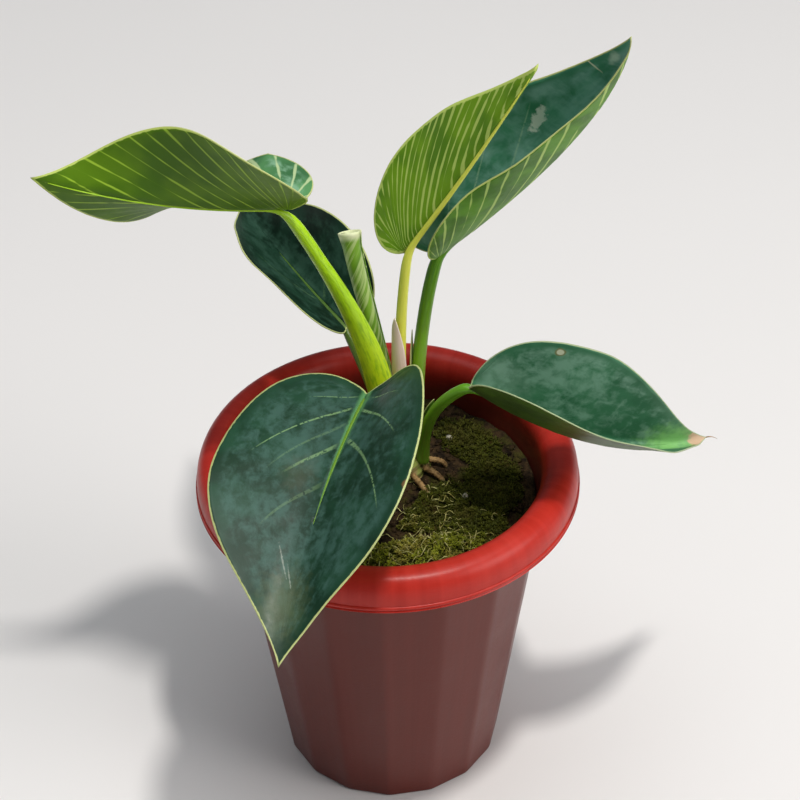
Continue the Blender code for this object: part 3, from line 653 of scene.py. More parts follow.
darkUpper = {"paintedSheenShare": 0.6, "roughness": 0.42, "specular": 0.28}
darkUnder = {
    "deep": (0.035, 0.10, 0.010), "green": (0.07, 0.17, 0.014), "roughness": 0.5,
    "midrib": (0.42, 0.48, 0.16), "midribReach": 0.98, "midribWidth": 1.1,
}
stripedUnder = {
    "deep": (0.085, 0.21, 0.004), "green": (0.15, 0.31, 0.006), "cream": (0.46, 0.60, 0.13),
    "creamWidth": 0.24, "creamLines": 26, "creamSway": 1.0, "edge": (0.50, 0.62, 0.14), "edgeWidth": 1.4,
    "midrib": (0.62, 0.66, 0.24), "midribReach": 0.98, "midribWidth": 1.2, "roughness": 0.5,
    "specular": 0.22,
}
faces = {
    "front": ({
        **darkUpper, "deep": (0.006, 0.032, 0.015), "green": (0.013, 0.058, 0.030),
        "paintedSheen": (0.054, 0.130, 0.104), "paintedSheenSize": 4.2, "paintedSheenSoft": 0.12, "paintedSheenStrength": 0.70,
        "bareEdge": 4.0, "vein": (0.26, 0.44, 0.19),
        "midrib": (0.10, 0.28, 0.10), "midribWidth": 3.2, "midribReach": 0.52, "edgeWidth": 0.7,
        "strokes": (
            (-1, 0.351, 0.504, 0.06, 0.66, 0.60), (-1, 0.510, 0.578, 0.05, 0.36, 0.55),
            (1, 0.366, 0.450, 0.05, 0.60, 0.65), (1, 0.489, 0.620, 0.03, 0.76, 0.55),
            (-1, 0.62, 0.70, 0.05, 0.55, 0.20), (-1, 0.43, 0.56, 0.05, 0.50, 0.20),
            (1, 0.28, 0.30, 0.10, 0.50, 0.45), (-1, 0.26, 0.30, 0.08, 0.45, 0.40),
        ),
        "spots": (
            {"at": (45, -11), "size": (12, 9), "soft": 0.9, "ragged": 1.2, "strength": 0.32,
             "colour": (0.085, 0.075, 0.045)},
            {"at": (97, -3), "size": (20, 13), "soft": 0.9, "ragged": 0.9, "strength": 0.50,
             "colour": (0.105, 0.135, 0.058)},
            {"at": (80, -7), "size": (8, 0.4), "turn": 25, "soft": 0.7, "ragged": 1.6, "grain": 1.2,
             "strength": 0.55, "colour": (0.34, 0.38, 0.32)},
            {"at": (86, -3), "size": (6, 0.35), "turn": 20, "soft": 0.7, "ragged": 1.8, "grain": 1.2,
             "strength": 0.50, "colour": (0.34, 0.38, 0.32)},
            {"at": (55, 41), "size": (2.4, 1.7), "soft": 0.5, "strength": 0.9,
             "colour": (0.17, 0.085, 0.03)},
        ),
    }, darkUnder),
    "left": ({
        **darkUpper, "deep": (0.035, 0.13, 0.045), "green": (0.085, 0.25, 0.09),
        "paintedSheen": (0.20, 0.38, 0.24),
        "cream": (0.42, 0.54, 0.28), "creamWidth": 0.13, "creamLines": 15, "creamSway": 0.8,
    }, {
        **stripedUnder, "deep": (0.060, 0.150, 0.003), "green": (0.100, 0.215, 0.005),
        "cream": (0.34, 0.54, 0.040), "creamWidth": 0.10, "creamLines": 20, "creamSway": 0.9,
        "edgeWidth": 1.0,
    }),
    "back": ({
        **darkUpper, "deep": (0.005, 0.018, 0.010), "green": (0.011, 0.042, 0.023),
        "paintedSheen": (0.030, 0.080, 0.052), "paintedSheenShare": 0.45, "paintedSheenSize": 6.0, "specular": 0.15,
        "strokes": ((1, 0.50, 0.60, 0.05, 0.70, 0.3), (-1, 0.48, 0.58, 0.05, 0.60, 0.25)),
    }, darkUnder),
    "centre": ({
        **darkUpper, "deep": (0.020, 0.085, 0.020), "green": (0.045, 0.15, 0.03),
        "cream": (0.40, 0.50, 0.16), "creamWidth": 0.22, "creamLines": 18,
    }, stripedUnder),
    # The tall leaf: its upper face greens are far lighter than those of the other dark leaves, painted light
    # on its far half.
    "tall": ({
        **darkUpper, "deep": (0.050, 0.24, 0.13), "green": (0.085, 0.32, 0.19), "paintedSheen": (0.36, 0.62, 0.56),
        "paintedSheenShare": 0.75, "paintedSheenSize": 10.0, "paintedSheenSoft": 0.15, "vein": (0.50, 0.70, 0.48),
        "strokes": ((1, 0.45, 0.46, 0.10, 0.80, 0.5), (1, 0.56, 0.57, 0.10, 0.80, 0.45),
                    (1, 0.68, 0.68, 0.08, 0.80, 0.45)),
        "spots": (
            # The first spot is a painted highlight: the glare of a lamp on the blade.
            {"at": (71, 14), "size": (8.5, 2.7), "turn": 11, "soft": 0.4, "ragged": 1.5, "grain": 0.45,
             "strength": 0.95, "colour": (0.95, 0.90, 0.84)},
            {"at": (111, 9), "size": (4.8, 0.6), "turn": 68, "soft": 0.5, "ragged": 1.0, "grain": 0.9,
             "strength": 0.85, "colour": (0.80, 0.76, 0.55)},
            {"at": (121, 3.8), "size": (6, 2.4), "soft": 0.8, "strength": 0.6,
             "colour": (0.75, 0.90, 0.72)},
        ),
    }, {
        **stripedUnder, "deep": (0.045, 0.15, 0.002), "green": (0.085, 0.25, 0.003),
        "cream": (0.40, 0.56, 0.13), "creamWidth": 0.14, "creamLines": 15, "edgeWidth": 0.8,
    }),
    # The low leaf: its upper face greens are lifted far above those of the other dark leaves, painted light;
    # its underside greens are darker than the others', painted shade.
    "low": ({
        **darkUpper, "deep": (0.034, 0.145, 0.068), "green": (0.055, 0.195, 0.098),
        "paintedSheen": (0.27, 0.46, 0.35), "paintedSheenSize": 5.5, "paintedSheenSoft": 0.11, "paintedSheenStrength": 0.62,
        "edgeWidth": 0.4,
        "edge": (0.38, 0.46, 0.26),
        "spots": (
            {"at": (97, 2), "size": (24, 14), "soft": 0.9, "strength": 0.8, "colour": (0.26, 0.56, 0.17)},
            {"at": (8, 10), "size": (20, 12), "soft": 0.9, "strength": 0.35, "colour": (0.30, 0.46, 0.36)},
            {"at": (18.6, 32.2), "size": (2.7, 2.3), "soft": 0.3, "ragged": 0.6, "strength": 0.9,
             "colour": (0.22, 0.20, 0.07)},
            {"at": (18.6, 32.2), "size": (1.9, 1.6), "soft": 0.3, "ragged": 0.5, "strength": 0.95,
             "colour": (0.66, 0.66, 0.48)},
            {"at": (114.5, 1), "size": (9.0, 9.0), "soft": 0.25, "ragged": 0.8, "grain": 0.5,
             "strength": 0.95, "colour": (0.60, 0.42, 0.28)},
        ),
    }, {**darkUnder, "deep": (0.030, 0.075, 0.008), "green": (0.055, 0.125, 0.010)}),
}
stalkLooks = {
    "front": {"foot": (0.30, 0.42, 0.03), "top": (0.14, 0.30, 0.02), "streak": (0.20, 0.36, 0.03),
              "fleck": (0.40, 0.48, 0.10), "seed": 1},
    "left": {"foot": (0.60, 0.70, 0.010), "top": (0.40, 0.68, 0.006), "streak": (0.26, 0.48, 0.005),
             "fleck": (0.58, 0.66, 0.05), "seed": 2},
    # The back stalk's dark greens are painted shade.
    "back": {"foot": (0.20, 0.28, 0.02), "top": (0.05, 0.12, 0.01), "streak": (0.08, 0.16, 0.01),
             "fleck": (0.20, 0.28, 0.06), "seed": 3},
    "centre": {"foot": (0.82, 0.78, 0.02), "top": (0.72, 0.76, 0.09), "streak": (0.70, 0.72, 0.06),
               "fleck": (0.82, 0.76, 0.22), "seed": 4},
    "tall": {"foot": (0.26, 0.42, 0.02), "top": (0.075, 0.25, 0.005), "streak": (0.16, 0.38, 0.008),
             "fleck": (0.28, 0.42, 0.05), "seed": 5},
    "low": {"foot": (0.16, 0.30, 0.02), "top": (0.11, 0.34, 0.012), "streak": (0.14, 0.38, 0.015),
            "fleck": (0.34, 0.44, 0.08), "seed": 6},
}
for leaf in leaves:
    name = leaf["name"]
    upper, under = faces[name]
    makeBlade(leaf, bladeSkin("upper_" + name, leaf, upper), bladeSkin("under_" + name, leaf, under))
    makeStalk(leaf, stalkSkin("stalk_" + name, stalkLooks[name]))


def leafNamed(name):
    return next(leaf for leaf in leaves if leaf["name"] == name)


# The dried end of the low leaf runs out in a thin curled hair.
dryHair = {
    "leaf": "low", "length": 7.0, "radius": 0.30, "steps": 12, "bend": (0.45, -0.27, -0.81),
    "dark": (0.16, 0.10, 0.05), "pale": (0.416, 0.26, 0.13),
}


def makeHair():
    leaf = leafNamed(dryHair["leaf"])
    skin, tree, shader = newSkin("driedTip", 0.7, 0.2)
    share, turn, run = partsOf(tree, "stalkPlace")
    tone = grain(tree, vectorOf(tree, run, turn, 1.0), 0.8, 3.0)
    colour = blendColour(tree, ramp(tree, tone, 0.35, 0.65), dryHair["dark"], dryHair["pale"])
    tree.links.new(colour, shader.inputs["Base Color"])
    tip = bladePoints(leaf, np.array([leaf["length"] - 0.6, leaf["length"] - 1.6]), np.array([1e-6, 1e-6]))
    ahead = unit(tip[0] - tip[1])
    path, place = [], tip[0]
    steps = dryHair["steps"]
    for knot in range(steps):
        path.append(place)
        bend = np.array(dryHair["bend"]) * (knot / (steps - 1)) ** 1.2
        place = place + unit(ahead + bend) * dryHair["length"] / (steps - 1) * mm
    sizes = [(dryHair["radius"] * (1 - knot / (steps + 1)) * mm,) * 2 for knot in range(steps)]
    addPiece("driedTipHair", tubeMesh("hair", path, sizes, 8), [skin], leaf["slot"], "blade_low")


makeHair()


print("pot")

# Pot sizes in millimetres; overall height and rim come from the frame.
potMake = {
    "steps": 256, "panels": 16, "panelTurn": -2.5, "taper": 0.707, "overhang": 12.2, "wall": 1.6,
    "floor": 3.0, "ridge": 0.14, "recess": 2.0, "footRing": 5.0, "ringRound": 1.6, "footRound": 1.4,
    "holes": 6,
    "holeAcross": 8.0, "holeRing": 0.55, "rollDepth": 10.6, "bead": 1.6, "beadSwell": 0.56, "skirt": 2.0,
    "lip": 2.2, "lipDrop": 4.62, "hollowGap": 0.6, "hollowFoot": 1.6, "hollowRise": 1.5,
    "red": (0.41, 0.019, 0.011), "streak": (0.49, 0.028, 0.018), "cloud": (0.52, 0.045, 0.032),
    # The last colour is painted shade for the inside wall above the soil.
    "insideShade": (0.060, 0.016, 0.009),
}


def plasticSkin():
    skin, tree, shader = newSkin("redPlastic", 0.38, 0.26)
    place = objectPlace(tree)
    x, y, z = splitVector(tree, place)
    turn = sums(tree, "ARCTAN2", y, x)
    tone = grain(tree, vectorOf(tree, times(tree, turn, 14.0), 0.0, times(tree, z, 6.0)), 1.0, 4.0)
    cloud = grain(tree, place, 45.0, 3.0)
    colour = blendColour(tree, ramp(tree, tone, 0.3, 0.7), potMake["red"], potMake["streak"])
    colour = blendColour(tree, times(tree, ramp(tree, cloud, 0.5, 0.75), 0.30), colour, potMake["cloud"])
    # Painted shade on the inside wall, just above the soil.
    inside = ramp(tree, hypotenuse(tree, x, y), rimRadius * 0.87, rimRadius * 0.82)
    level = plus(tree, z, times(tree, cloud, -0.012))
    insideShade = times(tree, inside, ramp(tree, level, soilTop + 0.009, soilTop - 0.004))
    colour = blendColour(tree, times(tree, insideShade, 0.85), colour, potMake["insideShade"])
    fine = grain(tree, place, 900.0, 2.0)
    rough = plus(tree, times(tree, cloud, 0.16), times(tree, fine, 0.10))
    tree.links.new(plus(tree, rough, 0.24), shader.inputs["Roughness"])
    finishSkin(tree, shader, colour, plus(tree, fine, times(tree, tone, 1.5)), 0.12, 0.0003)
    return skin


# Radius of the sixteen-sided wall at an angle; the ridges between the flats are rounded.
def wallRadius(corner, angle):
    panel = math.tau / potMake["panels"]
    off = (angle - math.radians(potMake["panelTurn"]) + math.pi / 2) % panel - panel / 2
    flat = corner * math.cos(panel / 2) / math.cos(off)
    ridge = potMake["ridge"] * mm
    near = max(0.0, 1 - (corner - flat) / (ridge * 2.2))
    return flat - ridge * near ** 2


# Stretches of the pot's outline, as (radius, height, whether the wall's panels shape it).
def arc(across, up, wide, tall, start, finish, steps, panelled=0):
    turns = np.radians(np.linspace(start, finish, steps + 1))
    return [(across + wide * math.cos(turn), up + tall * math.sin(turn), panelled) for turn in turns]


def straight(start, finish, steps, panelled=0):
    shares = np.linspace(0, 1, steps + 1)[1:]
    return [(start[0] + (finish[0] - start[0]) * share, start[1] + (finish[1] - start[1]) * share, panelled)
            for share in shares]


def potProfile():
    # Sizes in metres.
    make = {name: size * mm for name, size in potMake.items() if isinstance(size, float)}
    axis = 0.4 * mm
    flat = math.cos(math.pi / potMake["panels"])
    outer = rimRadius - make["beadSwell"]
    bodyTop = rimRadius - make["overhang"]
    bodyFoot = bodyTop * potMake["taper"]
    mouth = bodyTop * flat - make["wall"]
    inside = bodyFoot * flat - make["wall"]
    rollFoot = potTop - make["rollDepth"]
    skirtFoot = rollFoot - make["bead"] - make["skirt"]
    floorTop = make["recess"] + make["floor"]
    ringInside = bodyFoot * flat - make["footRing"] - make["ringRound"]
    # Underside and foot ring, then the outside of the wall.
    profile = [(axis, make["recess"], 0), (ringInside, make["recess"], 0)]
    profile += arc(ringInside, 0, make["ringRound"], make["recess"], 90, 0, 4)
    footRound = make["footRound"]
    profile += arc(bodyFoot - footRound, footRound, footRound, footRound, -90, 0, 6, 1)
    profile += straight((bodyFoot, footRound), (bodyTop, skirtFoot - 1.5 * mm), 30, 1)
    profile.append((bodyTop, rollFoot - 1.0 * mm, 1))
    # Hollow under the rolled rim.
    lipInside = outer - make["lip"]
    hollowFoot = potTop - make["lipDrop"] - make["hollowFoot"]
    half = (lipInside - bodyTop - make["hollowGap"]) / 2
    profile += arc(bodyTop + make["hollowGap"] + half, hollowFoot, half, make["hollowRise"], 180, 0, 8)[:-1]
    profile.append((lipInside, hollowFoot - 0.8 * mm, 0))
    profile.append((lipInside - 0.2 * mm, skirtFoot + 0.4 * mm, 0))
    # Skirt, bead and roll.
    half = (rimRadius - lipInside) / 2
    profile += arc(lipInside + half, skirtFoot + 0.5 * mm, half * 0.999, 0.5 * mm, 180, 360, 6)
    half = make["bead"] / 2
    profile += arc(outer, skirtFoot + make["skirt"] * 0.6 + half, make["beadSwell"], half, -90, 90, 8)
    half = (outer - mouth) / 2
    for share in range(37):
        angle = math.pi * share / 36
        across = math.copysign(abs(math.cos(angle)) ** 0.86, math.cos(angle))
        up = (potTop - rollFoot) * math.sin(angle) ** 0.80
        profile.append(((outer + mouth) / 2 + half * across, rollFoot + up, 0))
    # Inside of the wall and the floor.
    profile += straight((mouth, rollFoot), (inside, floorTop), 20)
    profile.append((axis, floorTop, 0))
    return profile


def makePot(skin):
    steps = potMake["steps"]
    points = []
    profile = potProfile()
    for radius, height, panelled in profile:
        for index in range(steps):
            angle = math.tau * index / steps
            away = wallRadius(radius, angle) if panelled else radius
            points.append((potAxis.x + away * math.cos(angle), potAxis.y + away * math.sin(angle), height))
    mesh = meshFrom("nurseryPot", points, closedRings(len(profile), steps))
    piece = addPiece("nurseryPot", mesh, [skin], "pot_plastic", "pot")
    drillShape = bmesh.new()
    reach = (rimRadius - potMake["overhang"] * mm) * potMake["taper"] * potMake["holeRing"]
    places = [(0, 0)]
    for index in range(potMake["holes"]):
        angle = math.tau * index / potMake["holes"]
        places.append((reach * math.cos(angle), reach * math.sin(angle)))
    radius = potMake["holeAcross"] / 2 * mm
    for x, y in places:
        made = bmesh.ops.create_cone(drillShape, cap_ends=True, segments=40, radius1=radius, radius2=radius,
                                     depth=20 * mm)
        bmesh.ops.translate(drillShape, verts=made["verts"], vec=(x, y, 2 * mm))
    drill = bpy.data.objects.new("drill", meshOf(drillShape, "drill"))
    bpy.context.scene.collection.objects.link(drill)
    drilled = piece.modifiers.new("drainHoles", "BOOLEAN")
    drilled.object = drill
    drilled.operation = "DIFFERENCE"
    graph = bpy.context.evaluated_depsgraph_get()
    done = bpy.data.meshes.new_from_object(piece.evaluated_get(graph))
    piece.modifiers.clear()
    piece.data = done
    bpy.data.objects.remove(drill, do_unlink=True)
    done.shade_smooth()
    done.set_sharp_from_angle(angle=math.radians(50))


makePot(plasticSkin())

print("soil, moss and threads")

soilMake = {
    "rings": 84, "steps": 240, "lumps": 1.02, "rise": 2.2, "riseReach": 21.0, "crumbs": 1500,
    "crumbSize": (0.45, 1.9), "seed": 5, "taper": 0.73, "dark": (0.012, 0.008, 0.005),
    "brown": (0.050, 0.030, 0.014), "bark": (0.14, 0.09, 0.04), "green": (0.06, 0.06, 0.010),
}
soilRadius = (soilHigh.x - soilLow.x) / 2


def earthSkin():
    skin, tree, shader = newSkin("darkEarth", 0.9, 0.08)
    place = objectPlace(tree)
    coarse = grain(tree, place, 260.0, 4.0, 0.65)
    fine = grain(tree, place, 1400.0, 3.0, 0.6)
    colour = blendColour(tree, ramp(tree, coarse, 0.35, 0.65), soilMake["dark"], soilMake["brown"])
    colour = blendColour(tree, times(tree, ramp(tree, fine, 0.62, 0.7), 0.6), colour, soilMake["bark"])
    green = grain(tree, place, 90.0, 3.0, 0.6)
    colour = blendColour(tree, times(tree, ramp(tree, green, 0.52, 0.64), 0.55), colour, soilMake["green"])
    finishSkin(tree, shader, colour, plus(tree, coarse, times(tree, fine, 0.5)), 0.8, 0.0012)
    return skin


def fromStem(x, y):
    return math.hypot(x - stemAxis.x, y - stemAxis.y)


# Height of the bare soil: broad lumps, clods and a rise round the stem.
def onSoil(x, y):
    broad = noise.noise(Vector((x * 45, y * 45, 3.1))) * 1.5
    clod = noise.noise(Vector((x * 160, y * 160, 7.7)))
    fine = noise.noise(Vector((x * 420, y * 420, 1.3))) * 0.45
    rise = soilMake["rise"] * math.exp(-(fromStem(x, y) / (soilMake["riseReach"] * mm)) ** 2)
    edge = -1.3 * max(0.0, math.hypot(x, y) / soilRadius - 0.86) / 0.14
    return soilTop + ((broad + clod + fine) * soilMake["lumps"] + rise + edge) * mm


# Soil: rings of the lumpy top from the axis outwards, then rings down the inside of the pot.
def makeSoil(skin):
    rings, steps, sideRings = soilMake["rings"], soilMake["steps"], 8
    angles = [math.tau * index / steps for index in range(steps)]
    turns = [(math.cos(angle), math.sin(angle)) for angle in angles]
    points = [(potAxis.x, potAxis.y, onSoil(0, 0))]
    for row in range(1, rings + 1):
        reach = (soilRadius - 0.2 * mm) * row / rings
        points += [(reach * x, reach * y, onSoil(reach * x, reach * y)) for x, y in turns]
    faces = [(0, 1 + index, 1 + (index + 1) % steps) for index in range(steps)]
    faces += ringFaces(rings, steps, 1)
    top = 1 + (rings - 1) * steps
    low = len(points)
    foot = soilRadius * soilMake["taper"]
    for share in np.linspace(0.97, 0, sideRings):
        reach = foot + (soilRadius - 0.4 * mm - foot) * share
        height = soilLow.z + (soilTop - 4 * mm - soilLow.z) * share
        points += [(reach * x, reach * y, height) for x, y in turns]
    for index in range(steps):
        after = (index + 1) % steps
        faces.append((top + index, low + index, low + after, top + after))
    faces += [face[::-1] for face in ringFaces(sideRings, steps, low)]
    faces.append(tuple(range(low + (sideRings - 1) * steps, low + sideRings * steps)))
    mesh = meshFrom("soil", points, faces)
    shape = bmesh.new()
    shape.from_mesh(mesh)
    bmesh.ops.recalc_face_normals(shape, faces=shape.faces)
    shape.to_mesh(mesh)
    shape.free()
    addPiece("pottingSoil", mesh, [skin], "potting_soil", "soil")


# Many small lumps in one mesh: broken clods of bark and peat.
def makeCrumbs(skin):
    chance = random.Random(soilMake["seed"])
    ball = bmesh.new()
    bmesh.ops.create_icosphere(ball, subdivisions=1, radius=1)
    corners = [vert.co.copy() for vert in ball.verts]
    sides = [tuple(vert.index for vert in face.verts) for face in ball.faces]
    ball.free()
    points, faces = [], []
    for _ in range(soilMake["crumbs"]):
        reach = (soilRadius - 0.0035) * math.sqrt(chance.random())
        angle = chance.uniform(0, math.tau)
        x, y = reach * math.cos(angle), reach * math.sin(angle)
        if fromStem(x, y) <= 13.5 * mm:
            continue
        size = chance.uniform(*soilMake["crumbSize"]) * chance.uniform(0.4, 1.0) * mm
        turn = Matrix.Rotation(chance.uniform(0, 6.3), 3, "Z")
        turn = turn @ Matrix.Rotation(chance.uniform(-0.5, 0.5), 3, "X")
        shape = Vector((chance.uniform(0.7, 1.6), chance.uniform(0.6, 1.1), chance.uniform(0.4, 0.8)))
        first = len(points)
        for corner in corners:
            bump = 1 + 0.35 * noise.noise(corner * 1.7 + Vector((x, y, size)) * 900)
            place = turn @ (corner * shape) * size * bump
            points.append((x + place.x, y + place.y, onSoil(x, y) + size * 0.25 + place.z))
        faces += [tuple(first + index for index in side) for side in sides]
    addPiece("soilCrumbs", meshFrom("soilCrumbs", points, faces), [skin], "potting_soil")


# Moss patches: angle round the axis, distance from it, half depth, half spread, height, number of shoots.
mossSizes = ("angle", "middle", "depth", "spread", "height", "shoots")
mossPatches = {
    name: dict(zip(mossSizes, sizes)) for name, *sizes in (
        ("moss_front", -82, 43.5, 11.5, 38, 5.0, 1150), ("moss_front_right", -39, 43.0, 12.5, 24, 5.0, 900),
        ("moss_right", -1, 41.5, 13.5, 32, 4.2, 1100), ("moss_right_back", 40, 42.0, 12.5, 25, 3.5, 700),
        ("moss_back_left", 114, 48.0, 6.5, 15, 8.0, 330), ("moss_left", 172, 39.0, 12.0, 30, 4.2, 620),
        ("moss_tuft", -38, 25.0, 12.0, 48, 4.5, 1000),
    )
}


mossColours = {
    "deep": (0.045, 0.062, 0.002), "bright": (0.22, 0.24, 0.008), "dry": (0.24, 0.17, 0.035),
    # On the next line, the last colour is painted shade for the moss towards the back.
    "tip": (0.42, 0.46, 0.10), "base": (0.018, 0.022, 0.004), "backShade": (0.016, 0.018, 0.002),
    "felt": (0.008, 0.009, 0.001), "feltLight": (0.045, 0.048, 0.004), "feltBrown": (0.055, 0.034, 0.012),
}


# How full a patch is at a place: 1 in its middle, 0 at its edge and outside it.
def mossFull(patch, x, y):
    angle = math.atan2(y, x)
    off = (angle - math.radians(patch["angle"]) + math.pi) % math.tau - math.pi
    deep = (math.hypot(x, y) - patch["middle"] * mm) / (patch["depth"] * mm)
    side = off / math.radians(patch["spread"])
    return max(0.0, 1 - deep * deep - side * side)


def mossRagged(x, y, seed):
    return 0.5 + 0.5 * noise.noise(Vector((x * 260, y * 260, seed)))


def mossClump(x, y):
    return noise.noise(Vector((x * 330, y * 330, 2.2)))


# One shoot: a short curved stem with a spiral of tiny pointed leaves.
def addShoot(points, faces, tints, foot, height, lean, turn, leafLength, chance, tint):
    leafCount = 7
    for index in range(leafCount):
        share = (index + 0.6) / leafCount
        centre = foot + Vector((lean.x * share * share, lean.y * share * share, height * share))
        angle = turn + index * 2.4
        droop = 0.75 - share * 1.1
        out = Vector((math.cos(angle), math.sin(angle), 0.55 - droop))
        out.normalize()
        side = Vector((-math.sin(angle), math.cos(angle), 0)) * leafLength * 0.22
        reach = leafLength * (1.15 - share * 0.55) * chance.uniform(0.8, 1.2)
        first = len(points)
        points += [centre - side * 0.6, centre + side * 0.6, centre + out * reach * 0.55 + side * 0.75,
                   centre + out * reach, centre + out * reach * 0.55 - side * 0.75]
        faces += [(first, first + 1, first + 2, first + 4), (first + 4, first + 2, first + 3)]
        tints += [(tint, share, reached) for reached in (0.0, 0.0, 0.6, 1.0, 0.6)]


def makeMoss(name, patch, skin, seed):
    chance = random.Random(seed)
    points, faces, tints = [], [], []
    for _ in range(patch["shoots"]):
        angle = math.radians(patch["angle"] + chance.uniform(-1, 1) * patch["spread"])
        reach = (patch["middle"] + chance.uniform(-1, 1) * patch["depth"]) * mm
        x, y = reach * math.cos(angle), reach * math.sin(angle)
        full = mossFull(patch, x, y)
        if full <= 0.02 or full * 1.7 < mossRagged(x, y, seed) * 0.9 or reach > soilRadius - 1.2 * mm:
            continue
        clump = mossClump(x, y)
        mound = patch["height"] * mm * min(1, full * 1.6) * (0.45 + 0.25 * clump)
        tall = (1.2 + 2.0 * chance.random()) * mm * (0.7 + 0.5 * clump)
        foot = Vector((x, y, onSoil(x, y) + mound - 0.6 * mm))
        lean = Vector((chance.uniform(-1, 1), chance.uniform(-1, 1), 0)) * 1.3 * mm
        turn, leafLength = chance.uniform(0, 6.3), chance.uniform(0.9, 1.7) * mm
        tint = chance.random() * 0.5 + 0.5 * (0.5 + clump)
        addShoot(points, faces, tints, foot, tall, lean, turn, leafLength, chance, tint)
    addPiece(name + "_shoots", meshFrom(name, points, faces, {"mossTint": tints}), [skin], "moss", name)


# Felt of moss under the shoots, so that no bare soil shows between them.
def makeMossFelt(skin):
    steps = 150
    places, points, faces = {}, [], []
    for row in range(steps + 1):
        for column in range(steps + 1):
            x, y = (column / steps * 2 - 1) * soilRadius, (row / steps * 2 - 1) * soilRadius
            if math.hypot(x, y) > soilRadius - 0.8 * mm:
                continue
            full, height = max((mossFull(patch, x, y), patch["height"]) for patch in mossPatches.values())
            if full * 1.6 < mossRagged(x, y, 9) * 0.7:
                continue
            lift = height * min(1, full * 1.6) * (0.40 + 0.25 * mossClump(x, y))
            lift += noise.noise(Vector((x * 900, y * 900, 4))) * 0.5
            places[row, column] = len(points)
            points.append((x, y, onSoil(x, y) + max(lift, 0.1) * mm))
    for row in range(steps):
        for column in range(steps):
            corners = [(row, column), (row, column + 1), (row + 1, column + 1), (row + 1, column)]
            if all(corner in places for corner in corners):
                faces.append(tuple(places[corner] for corner in corners))
    mesh = meshFrom("mossFelt", points, faces)
    weld(mesh, 0.000001)
    thicken(addPiece("mossFelt", mesh, [skin], "moss"), 0.8, -1)


def mossSkin():
    skin, tree, shader = newSkin("yellowMoss", 0.75, 0.10)
    tint, height, tip = partsOf(tree, "mossTint")
    place = objectPlace(tree)
    wide = grain(tree, place, 70.0, 2.0)
    colour = blendColour(tree, ramp(tree, tint, 0.15, 0.85), mossColours["deep"], mossColours["bright"])
    colour = blendColour(tree, times(tree, ramp(tree, wide, 0.45, 0.62), 0.6), colour, mossColours["dry"])
    colour = blendColour(tree, times(tree, ramp(tree, tip, 0.3, 1.0), 0.35), colour, mossColours["tip"])
    colour = blendColour(tree, times(tree, ramp(tree, height, 0.75, 0.0), 0.7), colour, mossColours["base"])
    x, y, _ = splitVector(tree, place)
    # Painted shade: the moss darkens towards the back.
    backShade = ramp(tree, plus(tree, y, times(tree, x, 0.25)), -0.036, -0.016)  # painted shade, darker towards the back
    colour = blendColour(tree, times(tree, backShade, 0.80), colour, mossColours["backShade"])
    fine = grain(tree, place, 1500.0, 2.0)
    tree.links.new(plus(tree, times(tree, fine, 0.3), 0.5), shader.inputs["Roughness"])
    finishSkin(tree, shader, colour, fine, 0.4, 0.0003)
    return skin


def feltSkin():
    skin, tree, shader = newSkin("mossFelt", 0.9, 0.05)
    place = objectPlace(tree)
    fine = grain(tree, place, 1100.0, 3.0)
    wide = grain(tree, place, 120.0, 3.0)
    colour = blendColour(tree, ramp(tree, fine, 0.35, 0.7), mossColours["felt"], mossColours["feltLight"])
    brown = times(tree, ramp(tree, wide, 0.5, 0.65), 0.6)
    colour = blendColour(tree, brown, colour, mossColours["feltBrown"])
    finishSkin(tree, shader, colour, fine, 0.9, 0.001)
    return skin


# Pale dry threads that wander over the moss; they stand for the two long strands as well.
threadMake = {
    "count": 120, "steps": 12, "radius": (0.08, 0.20), "length": (4.0, 12.0), "lift": (0.4, 2.2),
    "curl": 3.0, "seed": 21, "dark": (0.24, 0.20, 0.045), "pale": (0.52, 0.50, 0.20),
    "patches": ["moss_front"] * 6 + ["moss_tuft", "moss_tuft", "moss_front_right", "moss_left"],
}


def threadSkin():
    skin, tree, shader = newSkin("dryThread", 0.7, 0.3)
    place = objectPlace(tree)
    tone = ramp(tree, grain(tree, place, 400.0, 3.0), 0.35, 0.65)
    colour = blendColour(tree, tone, threadMake["dark"], threadMake["pale"])
    finishSkin(tree, shader, colour, grain(tree, place, 2500.0, 2.0), 0.3, 0.0002)
    return skin


def wanderingPath(chance, x, y, length, lift):
    steps = threadMake["steps"]
    heading = chance.uniform(0, math.tau)
    turn = chance.uniform(-threadMake["curl"], threadMake["curl"])
    points = []
    for index in range(steps + 1):
        mound = max(mossFull(patch, x, y) * patch["height"] for patch in mossPatches.values()) * 0.45 * mm
        wave = lift * (0.5 + 0.5 * math.sin(index * 0.9 + turn))
        points.append((x, y, onSoil(x, y) + mound + wave + 0.5 * mm))
        heading += turn / steps + chance.uniform(-0.28, 0.28)
        x += math.cos(heading) * length / steps
        y += math.sin(heading) * length / steps
        if math.hypot(x, y) > soilRadius - 2.5 * mm or fromStem(x, y) <= 14.5 * mm:
            heading += 2.2
    return points


